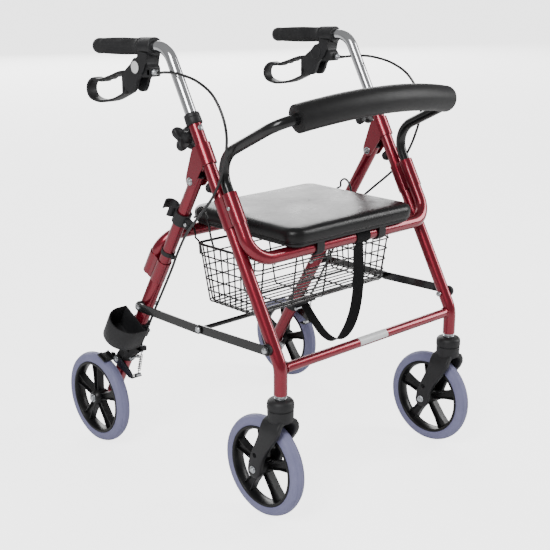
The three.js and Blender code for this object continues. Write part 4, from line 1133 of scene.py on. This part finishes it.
def build_cable(side):
    """Brake cable in two lengths, with its ferrule and clip."""
    route = [Vector(p) for p in CABLE_ROUTE]
    path = smooth_path(route, 6)
    split = CABLE_SPLIT * 6
    upper = make_pair_piece("cable_upper", Solid().pipe(path[: split + 1], CABLE_RADIUS, 14), side, None,
                            "Cable jacket", "brake_cable", sharp=60)
    lower = make_pair_piece("cable_lower", Solid().pipe(path[split:], CABLE_RADIUS, 14), side, None,
                            "Cable jacket", "brake_cable", sharp=60)
    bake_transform(upper)
    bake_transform(lower)
    ferrule = Solid().pipe([Vector((252, 46, 812)), Vector((252, 40, 812.1)), Vector((252.6, 36, 812.4))],
                           3.1, 20)
    make_pair_piece("cable_ferrule", ferrule, side, on_side_body(side, "handle"), "Cable jacket")
    clip = Solid()
    low, high = rear_leg(459), rear_leg(467)
    clip.hollow_pipe([low, high], TUBE + 1.5, 1.3, 36)
    clip.plate(rounded_outline([(-4, 11), (4, 11), (4, 20), (-4, 20)], 2), -4, 4, rear_leg(463),
               (OUT, -REAR_BACK, REAR_UP))
    make_pair_piece("cable_clip", clip, side, "rear_frame", "Moulded plastic", bevel=0.4)


# ------------------------------------------------------------------ seat and backrest
SEAT_HALF = 174.0
CROWN_Z = 536.0  # the cover is slightly uneven above this height
SEAT_FRONT, SEAT_BACK = -250.0, 58.0


def seat_ring(inset, corner, z, count=18):
    """A rounded rectangle round the seat at a height; its sides bow in slightly between the corners."""
    half_x = SEAT_HALF - inset
    half_y = (SEAT_BACK - SEAT_FRONT) / 2 - inset
    middle = (SEAT_BACK + SEAT_FRONT) / 2
    corner = max(corner - inset, 2.0)
    ring = []
    for quarter, (sx, sy) in enumerate(((1, 1), (-1, 1), (-1, -1), (1, -1))):
        cx, cy = sx * (half_x - corner), sy * (half_y - corner)
        for angle in arc(90 * quarter, 90 * quarter + 90, 8):
            ring.append(Vector((cx + corner * math.cos(angle), cy + corner * math.sin(angle))))
        nx, ny = ((-1, 1), (-1, -1), (1, -1), (1, 1))[quarter]
        last = ring[-1]
        ahead = (quarter + 1) % 4
        turn = math.radians(90 * ahead)
        goal = Vector((nx * (half_x - corner) + corner * math.cos(turn),
                       ny * (half_y - corner) + corner * math.sin(turn)))
        for step in range(1, count):
            t = step / count
            pull = 1.6 * math.sin(math.pi * t)
            inwards = Vector((-math.cos(turn), -math.sin(turn))) * pull
            ring.append(last.lerp(goal, t) + inwards)
    return [Vector((p.x, p.y + middle, z)) for p in ring]


def build_seat():
    """Padded seat: crowned vinyl cushion with a welted seam, and the moulded board below it."""
    profile = [(11.0, 513.4), (5.0, 513.6), (2.4, 514.6), (1.6, 516.0), (2.6, 517.0), (1.2, 518.0),
               (0.5, 521.5), (0.2, 526.0), (0.4, 531.0), (1.6, 535.5), (4.6, 539.2), (9.0, 542.0),
               (15.0, 543.5), (26, 544.3), (42, 544.8), (62, 545.1), (85, 545.3), (110, 545.5), (135, 545.6),
               (150, 545.6)]
    rings = []
    for inset, z in profile:
        ring = seat_ring(inset, 30, z)
        for point in ring:
            if z > CROWN_Z:
                ripple = noise.noise(point * 0.016) * 0.9 + noise.noise(point * 0.05) * 0.25
                point.z += min(0.3, ripple) * min(1.0, inset / 20) * min(1.0, (150 - inset) / 50)
        rings.append(ring)
    cushion = make_piece("seat_pad", Solid().shell(rings), MIDDLE, "seat", "Seat vinyl", ["seat_cushion"],
                         sharp=70, subdivide=1)
    board = Solid().shell([seat_ring(i, 30, z) for i, z in ((14, 507), (8, 507), (6, 509), (6, 513))])
    bar = front_socket(SEAT_BAR_Z)
    for x in (-88, 88):
        wrap = sweep(16, 0, -180, 24) + [Vector((-16, 15)), Vector((-13, 15))]
        wrap += sweep(13.2, -180, 0, 24) + [Vector((13, 15)), Vector((16, 15))]
        board.plate(wrap, x - 10, x + 10, Vector((0, bar.y, bar.z)))
        board.turned(Vector((x, bar.y, bar.z - 15.4)), -UP, [(0, 0), (3.2, 0), (2.6, 1.6), (0, 2.0)], 20)
    make_piece("seat_base", board, MIDDLE, "seat", "Moulded plastic", ["seat_board"], bevel=0.8)


CROWN = Vector((0, -327, 790))
FOAM_END = Vector((205, -285, 754))
ARC_RADIUS = 785
FOAM_RADIUS = 25.8


def build_backrest():
    """Bent black tube let into the front sockets, and the foam sleeve on its crossing."""
    outward = (FOAM_END - CROWN).normalized()
    shoulder = CROWN + outward * (FRAME_OUT / outward.x)
    corners = [front_socket(566), front_socket(668), shoulder, CROWN, mirrored(shoulder),
               mirrored(front_socket(668)), mirrored(front_socket(566))]
    path = bent_path(corners, [50, 38, ARC_RADIUS, 38, 50], 14)
    tube = Solid().pipe(path, 10, 36)
    hoop = make_piece("backrest_hoop", tube, MIDDLE, "front_frame", "Black enamel", ["backrest_tube"])
    holes = Solid()
    at = front_socket(BUTTON_Z)
    for sign in (-1, 1):
        holes.disc(Vector((sign * (FRAME_OUT + 1), at.y, at.z)), OUT * sign, 4.4, 14, 28)
    drill(hoop, side_mesh("button_holes", holes, MIDDLE))
    centre = bent_path([FOAM_END, CROWN, mirrored(FOAM_END)], [ARC_RADIUS], 40, 12)
    rings = []
    for i, point in enumerate(centre):
        heading = heading_at(centre, i)
        up = heading.cross(BACK).normalized()
        side_way = heading.cross(up)
        ring = []
        for turn in circle(1.0, 64):
            away = up * turn.x + side_way * turn.y
            uneven = 0.35 * noise.noise((point + away * 26) * 0.02)
            ring.append(point + away * (FOAM_RADIUS + uneven))
        rings.append(ring)
    ends = []
    for point, outwards, ring in ((centre[0], -heading_at(centre, 0), rings[0]),
                                  (centre[-1], heading, rings[-1])):
        lip = []
        for radius, inset in ((10.3, 3.0), (10.3, 0.4), (15, 0.0), (22.5, 0.0), (24.9, 1.2)):
            lip.append([point + (p - point) * (radius / FOAM_RADIUS) - outwards * inset for p in ring])
        ends.append(lip)
    foam = Solid().shell(ends[0] + rings[1:-1] + ends[1][::-1])
    piece = make_piece("backrest_sleeve", foam, MIDDLE, "front_frame", "Backrest foam", ["backrest_foam"],
                       sharp=50)


def build_backrest_button(side):
    """Sprung plated button that locks the backrest in its socket."""
    at = front_socket(BUTTON_Z)
    button = Solid().turned(Vector((FRAME_OUT + 10.7, at.y, at.z)), OUT,
                            [(0, 0), (3.8, 0), (3.8, 4.2), (3.0, 5.3), (0, 5.8)], 28)
    make_pair_piece("lock_button", button, side, on_side_body(side, "button"), "Zinc plate",
                    "backrest_button")


# ------------------------------------------------------------------ basket, strap, cane holder
RIM_Z, FLOOR_Z = 475.0, 358.0


def basket_at(across, along, depth):
    """A point on the tapered basket: across and along from -1 to 1, and depth from 0 at the rim to 1."""
    half_x = 192.0 + (186.5 - 192.0) * depth
    front = -172.3 + (-154.5 + 172.3) * depth
    back = 10.3 + (-14.5 - 10.3) * depth
    return Vector((across * half_x, (front + back) / 2 + along * (back - front) / 2,
                   RIM_Z + (FLOOR_Z - RIM_Z) * depth))


def wire_loop(depth, corner=14):
    """A closed ring round the basket at a depth, with rounded corners."""
    corners = [(-1, -1), (1, -1), (1, 1), (-1, 1)]
    flat = rounded_outline([basket_at(a, b, depth).to_2d() for a, b in corners], corner, 6)
    return [Vector((p.x, p.y, basket_at(0, 0, depth).z)) for p in flat]


def build_basket():
    """Welded wire basket with a heavy rim, hooks to the seat bars and a carrying loop at each side."""
    basket, wire_sides = Solid(), 10
    for depth, radius in ((0.0, 2.6), (0.19, 1.6), (0.39, 1.6), (0.59, 1.6), (0.79, 1.6), (0.97, 1.6)):
        ring = wire_loop(depth)
        rings = []
        for i, point in enumerate(ring):
            heading = (ring[(i + 1) % len(ring)] - ring[i - 1]).normalized()
            across = heading.cross(UP)
            rings.append([point + across * p.x + UP * p.y
                          for p in sweep(radius, 0, 360 - 360 / wire_sides, wire_sides - 1)])
        basket.shell(rings, looped=True)
    for a in (-0.93, -0.47, 0, 0.47, 0.93):
        corners = [basket_at(a, -1, 0), basket_at(a, -1, 1), basket_at(a, 1, 1), basket_at(a, 1, 0)]
        basket.pipe(bent_path(corners, [7, 7], 4, 400), 1.7, 8)
    for step in range(-4, 5):
        b = step / 4.55
        corners = [basket_at(-1, b, 0), basket_at(-1, b, 1), basket_at(1, b, 1), basket_at(1, b, 0)]
        basket.pipe(bent_path(corners, [7, 7], 4, 400), 1.6, 8)
    for x in (-150, 150):
        places = ((-171.5, RIM_Z - 16), (-176, RIM_Z - 4), (-194, 476), (-201, 487))
        basket.pipe(smooth_path([Vector((x, *place)) for place in places], 5), 1.6, 10)
    y = rear_socket(SEAT_BAR_Z).y
    for x in (-184, 184):
        places = ((10, RIM_Z - 24), (13, RIM_Z), (24, 482), (y - 22, 491), (y - 15, 505), (y, 509.2),
                  (y + 14.5, 501), (y + 15.4, 490))
        basket.pipe(smooth_path([Vector((x, *place)) for place in places], 6), 1.9, 10)
    for sign in (-1, 1):
        loop = [(192, -42, RIM_Z), (199, -42, 498), (204, -40, 530), (204, -32, 549), (204, -20, 555),
                (204, -9, 548), (204, -8, 537), (204, 2, 531)]
        loop = [Vector((sign * x, y, z)) for x, y, z in loop]
        basket.pipe(smooth_path(loop, 6), 2.2, 10)
    make_piece("wire_basket", basket, MIDDLE, "basket", "Black enamel", ["basket"], sharp=60)


def build_strap():
    """Lifting strap: its hanging loop, and its sleeve on the front bar."""
    bar = front_socket(SEAT_BAR_Z)
    route = [Vector((35, bar.y - 1, bar.z - TUBE - 1.4)), Vector((36, bar.y + 1, 452)),
             Vector((46, -210, 390)), Vector((44, -203, 330)), Vector((31, -194, 288)),
             Vector((14, -180, 270)), Vector((6, -158, 276)), Vector((3, -130, 300)), Vector((2, -100, 330))]
    path = smooth_path(route, 8)
    ribbon = [(-11, -0.6), (-6, -0.8), (6, -0.8), (11, -0.6), (11, 0.6), (6, 0.8), (-6, 0.8), (-11, 0.6)]
    rings = []
    for i, point in enumerate(path):
        heading = heading_at(path, i)
        turned = max(0.0, min(1.0, i / 20, (40 - i) / 14))
        lie = Vector((1, -0.8 * turned, 0))
        across = (lie - heading * heading.dot(lie)).normalized()
        face = heading.cross(across)
        rings.append([point + across * a + face * b for a, b in ribbon])
    piece = make_piece("strap_loop", Solid().shell(rings), MIDDLE, None, "Webbing", ["lift_strap"], sharp=60)
    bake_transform(piece)
    wrap = band(TUBE + 2.0, TUBE + 0.4, 0, 330, 30)
    sleeve = Solid().plate(wrap, 16, 54, Vector((0, bar.y, bar.z)))
    make_piece("strap_sleeve", sleeve, MIDDLE, "front_frame", "Webbing", sharp=60)


def build_cane_cup():
    """Open moulded cup for a stick's foot, on a clamp round the right rear leg."""
    low, high = on_rear_leg(283, 0, 0, -26), on_rear_leg(283, 0, 0, 26)
    half, centre, inner_x = 39.0, 285.4, 263.6

    def tub(grow, along):
        r = half + grow
        points = [Vector((inner_x - grow, r))]
        points += [Vector((centre + r * math.sin(a), r * math.cos(a))) for a in arc(0, 180, 28)]
        points += [Vector((inner_x - grow, -r))]
        outline = []
        for a, b in zip(points, points[1:] + points[:1]):
            parts = 6 if (b - a).length > 12 else 1
            outline += [a.lerp(b, i / parts) for i in range(parts)]
        base = low + (high - low).normalized() * along
        return [base + OUT * (p.x - base.x) + REAR_BACK * p.y for p in outline]

    levels = [(-7, 0), (-2, 0.4), (0, 3), (0, 20), (0.4, 50), (-0.4, 52), (-2.2, 52), (-3, 50.5), (-3, 20),
              (-4, 4.5), (-9, 3.4)]
    rings = [tub(grow, along) for grow, along in levels]
    cup = Solid().shell(rings)
    make_piece("cane_cup_tub", cup, RIGHT, "rear_frame", "Moulded plastic", ["cane_cup"], sharp=50)
    clamp = Solid().hollow_pipe([rear_leg(283) - REAR_UP * 15, rear_leg(283) + REAR_UP * 15], 18, 3.5, 44)
    ears = rear_leg(283) - REAR_BACK * 20
    clamp.plate(rounded_outline([(-7, -10), (7, -10), (7, 10), (-7, 10)], 3), -7, 7, ears,
                (OUT, REAR_UP, REAR_BACK))
    make_piece("cane_cup_clamp", clamp, RIGHT, "rear_frame", "Moulded plastic", bevel=0.6)
    screw = Solid().bolt(ears + OUT * 11, ears - OUT * 9, 2.6, 4.8, 3.2, 4.6, 3.4)
    make_piece("cane_cup_screw", screw, RIGHT, "rear_frame", "Zinc plate", bevel=0.3)


def build_cane_clip():
    """Open spring jaw for a stick's shaft, on a clamp round the right rear leg."""
    clip = Solid()
    base = rear_leg(541)
    clip.hollow_pipe([base - REAR_UP * 13, base + REAR_UP * 13], 17, 3.6, 44)
    jaw = []
    for radius, angles in ((15.5, arc(150, 420, 30)), (12.2, arc(420, 150, 30))):
        jaw += [Vector((6 + radius * math.sin(a), 31 - radius * math.cos(a))) for a in angles]
    clip.plate(jaw, -11, 11, base, (OUT, REAR_BACK, REAR_UP))
    clip.plate(rounded_outline([(-6, -28), (6, -28), (6, -15), (-6, -15)], 2), -9, 9, base,
               (OUT, REAR_BACK, REAR_UP))
    make_piece("cane_clip_jaw", clip, RIGHT, "rear_frame", "Moulded plastic", ["cane_clip"], bevel=0.7)
    screw = Solid().bolt(base - REAR_BACK * 22 + OUT * 7, base - REAR_BACK * 22 - OUT * 7, 2.4, 4.4, 3, 4.2,
                         3)
    make_piece("cane_clip_screw", screw, RIGHT, "rear_frame", "Zinc plate", bevel=0.3)


# ------------------------------------------------------------------ stage
def build_floor(colour, glow):
    """A wide pale floor."""
    floor_material(colour, glow)
    mesh = bpy.data.meshes.new("floor")
    size = 30.0
    mesh.from_pydata([(-size, -size, 0), (size, -size, 0), (size, size, 0), (-size, size, 0)], [],
                     [(0, 1, 2, 3)])
    floor = bpy.data.objects.new("floor", mesh)
    bpy.context.scene.collection.objects.link(floor)
    mesh.materials.append(bpy.data.materials["Studio floor"])


def add_softbox(name, place, target, size, power):
    """A rectangular light turned to a target."""
    data = bpy.data.lights.new(name, "AREA")
    data.shape = "RECTANGLE"
    data.size, data.size_y = size
    data.energy = power
    lamp = bpy.data.objects.new(name, data)
    lamp.location = place
    lamp.rotation_euler = (Vector(target) - Vector(place)).to_track_quat("-Z", "Y").to_euler()
    bpy.context.scene.collection.objects.link(lamp)


def build_lights(power, sky, glow):
    """Even sky, a key light, a fill light and a wide light behind."""
    world = bpy.data.worlds.new("Studio")
    world.use_nodes = True
    background = world.node_tree.nodes["Background"]
    background.inputs["Color"].default_value = (1, 1, 1, 1)
    glow_when_seen(world.node_tree, glow, sky, background.inputs["Strength"])
    bpy.context.scene.world = world
    middle = (0, 0, 0.45)
    add_softbox("key", (-2.4, -1.2, 2.6), middle, (1.2, 2.0), power)
    add_softbox("fill", (2.6, -1.8, 1.8), middle, (1.0, 2.2), power * 0.7)
    add_softbox("backdrop", (4.2, 8.4, 3.2), middle, (10.5, 4.4), power * 8.5)


FOCAL_RATIO = 1.953927  # the lens's focal length over the sensor's width


def build_camera():
    """The viewing angle: azimuth, height and distance round the walker's middle."""
    azimuth, elevation, distance = math.radians(-43.32), math.radians(16.41), 2.28335  # metres
    target = Vector((MID_X, -0.01335, 0.37445))
    flat = math.cos(elevation)
    away = Vector((math.sin(azimuth) * flat, -math.cos(azimuth) * flat, math.sin(elevation)))
    data = bpy.data.cameras.new("camera")
    data.sensor_width = 36.0
    data.lens = data.sensor_width * FOCAL_RATIO
    camera = bpy.data.objects.new("camera", data)
    camera.location = target + away * distance
    camera.rotation_euler = (-away).to_track_quat("-Z", "Y").to_euler()
    bpy.context.scene.collection.objects.link(camera)
    bpy.context.scene.camera = camera


# ------------------------------------------------------------------ settings and operators
def colour_setting(name, description, default):
    """A colour that a user can change."""
    return bpy.props.FloatVectorProperty(name=name, description=description, subtype="COLOR", size=3, min=0,
                                         max=1, default=default)


class WalkerFinishes(bpy.types.PropertyGroup):
    """Colours of the walker."""

    paint: colour_setting("Frame paint", "Metallic paint of the legs and bars", (0.30, 0.010, 0.030))
    plastic: colour_setting("Plastic", "Moulded black parts", (0.0115, 0.0115, 0.0125))
    tyres: colour_setting("Tyres", "Polyurethane of the tyres", (0.215, 0.215, 0.36))
    vinyl: colour_setting("Seat vinyl", "Cover of the seat", (0.0050, 0.0048, 0.0052))
    foam: colour_setting("Foam", "Sleeve of the backrest", (0.0070, 0.0070, 0.0074))


class WalkerStage(bpy.types.PropertyGroup):
    """Floor and lights."""

    floor: colour_setting("Floor", "Studio floor", (0.93, 0.93, 0.93))
    glow: bpy.props.FloatProperty(name="Backdrop glow",
                                  description="How brightly the floor and the far wall shine", default=2.8,
                                  min=0)
    power: bpy.props.FloatProperty(name="Key light", description="Power of the key light", default=90.0,
                                   min=0, unit="POWER")
    sky: bpy.props.FloatProperty(name="Sky", description="Strength of the even light", default=0.32, min=0)


class BuildMaterials(bpy.types.Operator):
    """Make the shared effects and the materials"""

    bl_idname = "walker.materials"
    bl_label = "Materials"

    def execute(self, context):
        colours = context.scene.walker_finishes
        make_handling_marks()
        make_moulded_grain()
        make_leather_grain()
        make_weave()
        frame_paint_material(tuple(colours.paint))
        chrome_material()
        zinc_material()
        black_enamel_material()
        moulded_plastic_material(tuple(colours.plastic))
        wheel_plastic_material(tuple(colours.plastic))
        tyre_material(tuple(colours.tyres))
        grip_rubber_material()
        seat_vinyl_material(tuple(colours.vinyl))
        foam_material(tuple(colours.foam))
        webbing_material()
        cable_material()
        label_material()
        return {"FINISHED"}


class BuildFrame(bpy.types.Operator):
    """Build the legs, bars, hinge brackets and braces"""

    bl_idname = "walker.frame"
    bl_label = "Frame"

    def execute(self, context):
        for side in (RIGHT, LEFT):
            build_front_leg(side)
            build_rear_leg(side)
            build_hinge_bracket(side)
        build_seat_bars()
        build_cross_tube()
        build_braces()
        return {"FINISHED"}


class BuildWheels(bpy.types.Operator):
    """Build the wheels, caster forks and axles"""

    bl_idname = "walker.wheels"
    bl_label = "Wheels"

    def execute(self, context):
        for side in (RIGHT, LEFT):
            build_wheel("front", side)
            build_wheel("rear", side)
            build_fork(side)
            build_rear_axle(side)
        return {"FINISHED"}


class BuildHandles(bpy.types.Operator):
    """Build the handle posts, collars, knobs and grips"""

    bl_idname = "walker.handles"
    bl_label = "Handles"

    def execute(self, context):
        for side in (RIGHT, LEFT):
            build_handle_post(side)
            build_post_collar(side)
            build_height_knob(side)
            build_grip(side)
        return {"FINISHED"}


class BuildBrakes(bpy.types.Operator):
    """Build the brake housings, levers, cables and wheel brakes"""

    bl_idname = "walker.brakes"
    bl_label = "Brakes"

    def execute(self, context):
        for side in (RIGHT, LEFT):
            build_brake_housing(side)
            build_brake_lever(side)
            build_cable(side)
            build_wheel_brake(side)
        return {"FINISHED"}


class BuildSeat(bpy.types.Operator):
    """Build the seat, its strap, and the backrest"""

    bl_idname = "walker.seat"
    bl_label = "Seat and backrest"

    def execute(self, context):
        build_seat()
        build_backrest()
        for side in (RIGHT, LEFT):
            build_backrest_button(side)
        build_strap()
        return {"FINISHED"}


class BuildCarriers(bpy.types.Operator):
    """Build the wire basket and the cane holder"""

    bl_idname = "walker.carriers"
    bl_label = "Basket and cane holder"

    def execute(self, context):
        build_basket()
        build_cane_cup()
        build_cane_clip()
        return {"FINISHED"}


class BuildStage(bpy.types.Operator):
    """Make the floor, lights and camera"""

    bl_idname = "walker.stage"
    bl_label = "Stage"

    def execute(self, context):
        settings = context.scene.walker_stage
        build_camera()
        build_floor(tuple(settings.floor), settings.glow)
        build_lights(settings.power, settings.sky, settings.glow)
        return {"FINISHED"}


STEPS = (BuildMaterials, BuildStage, BuildFrame, BuildWheels, BuildHandles, BuildBrakes, BuildSeat,
         BuildCarriers)


class WalkerPanel(bpy.types.Panel):
    """Lists the walker's settings and steps."""

    bl_idname = "VIEW3D_PT_walker"
    bl_label = "Folding walker"
    bl_space_type = "VIEW_3D"
    bl_region_type = "UI"
    bl_category = "Walker"

    def draw(self, context):
        for group in (context.scene.walker_finishes, context.scene.walker_stage):
            for setting in group.bl_rna.properties:
                if setting.identifier not in ("rna_type", "name"):
                    self.layout.prop(group, setting.identifier)
        for step in STEPS:
            self.layout.operator(step.bl_idname)


CLASSES = (WalkerFinishes, WalkerStage, *STEPS, WalkerPanel)


def register():
    for cls in CLASSES:
        bpy.utils.register_class(cls)
    bpy.types.Scene.walker_finishes = bpy.props.PointerProperty(type=WalkerFinishes)
    bpy.types.Scene.walker_stage = bpy.props.PointerProperty(type=WalkerStage)


def unregister():
    del bpy.types.Scene.walker_stage
    del bpy.types.Scene.walker_finishes
    for cls in reversed(CLASSES):
        bpy.utils.unregister_class(cls)


def main():
    """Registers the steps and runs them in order."""
    register()
    for step in STEPS:
        family, name = step.bl_idname.split(".")
        getattr(getattr(bpy.ops, family), name)()


if __name__ == "__main__":
    main()
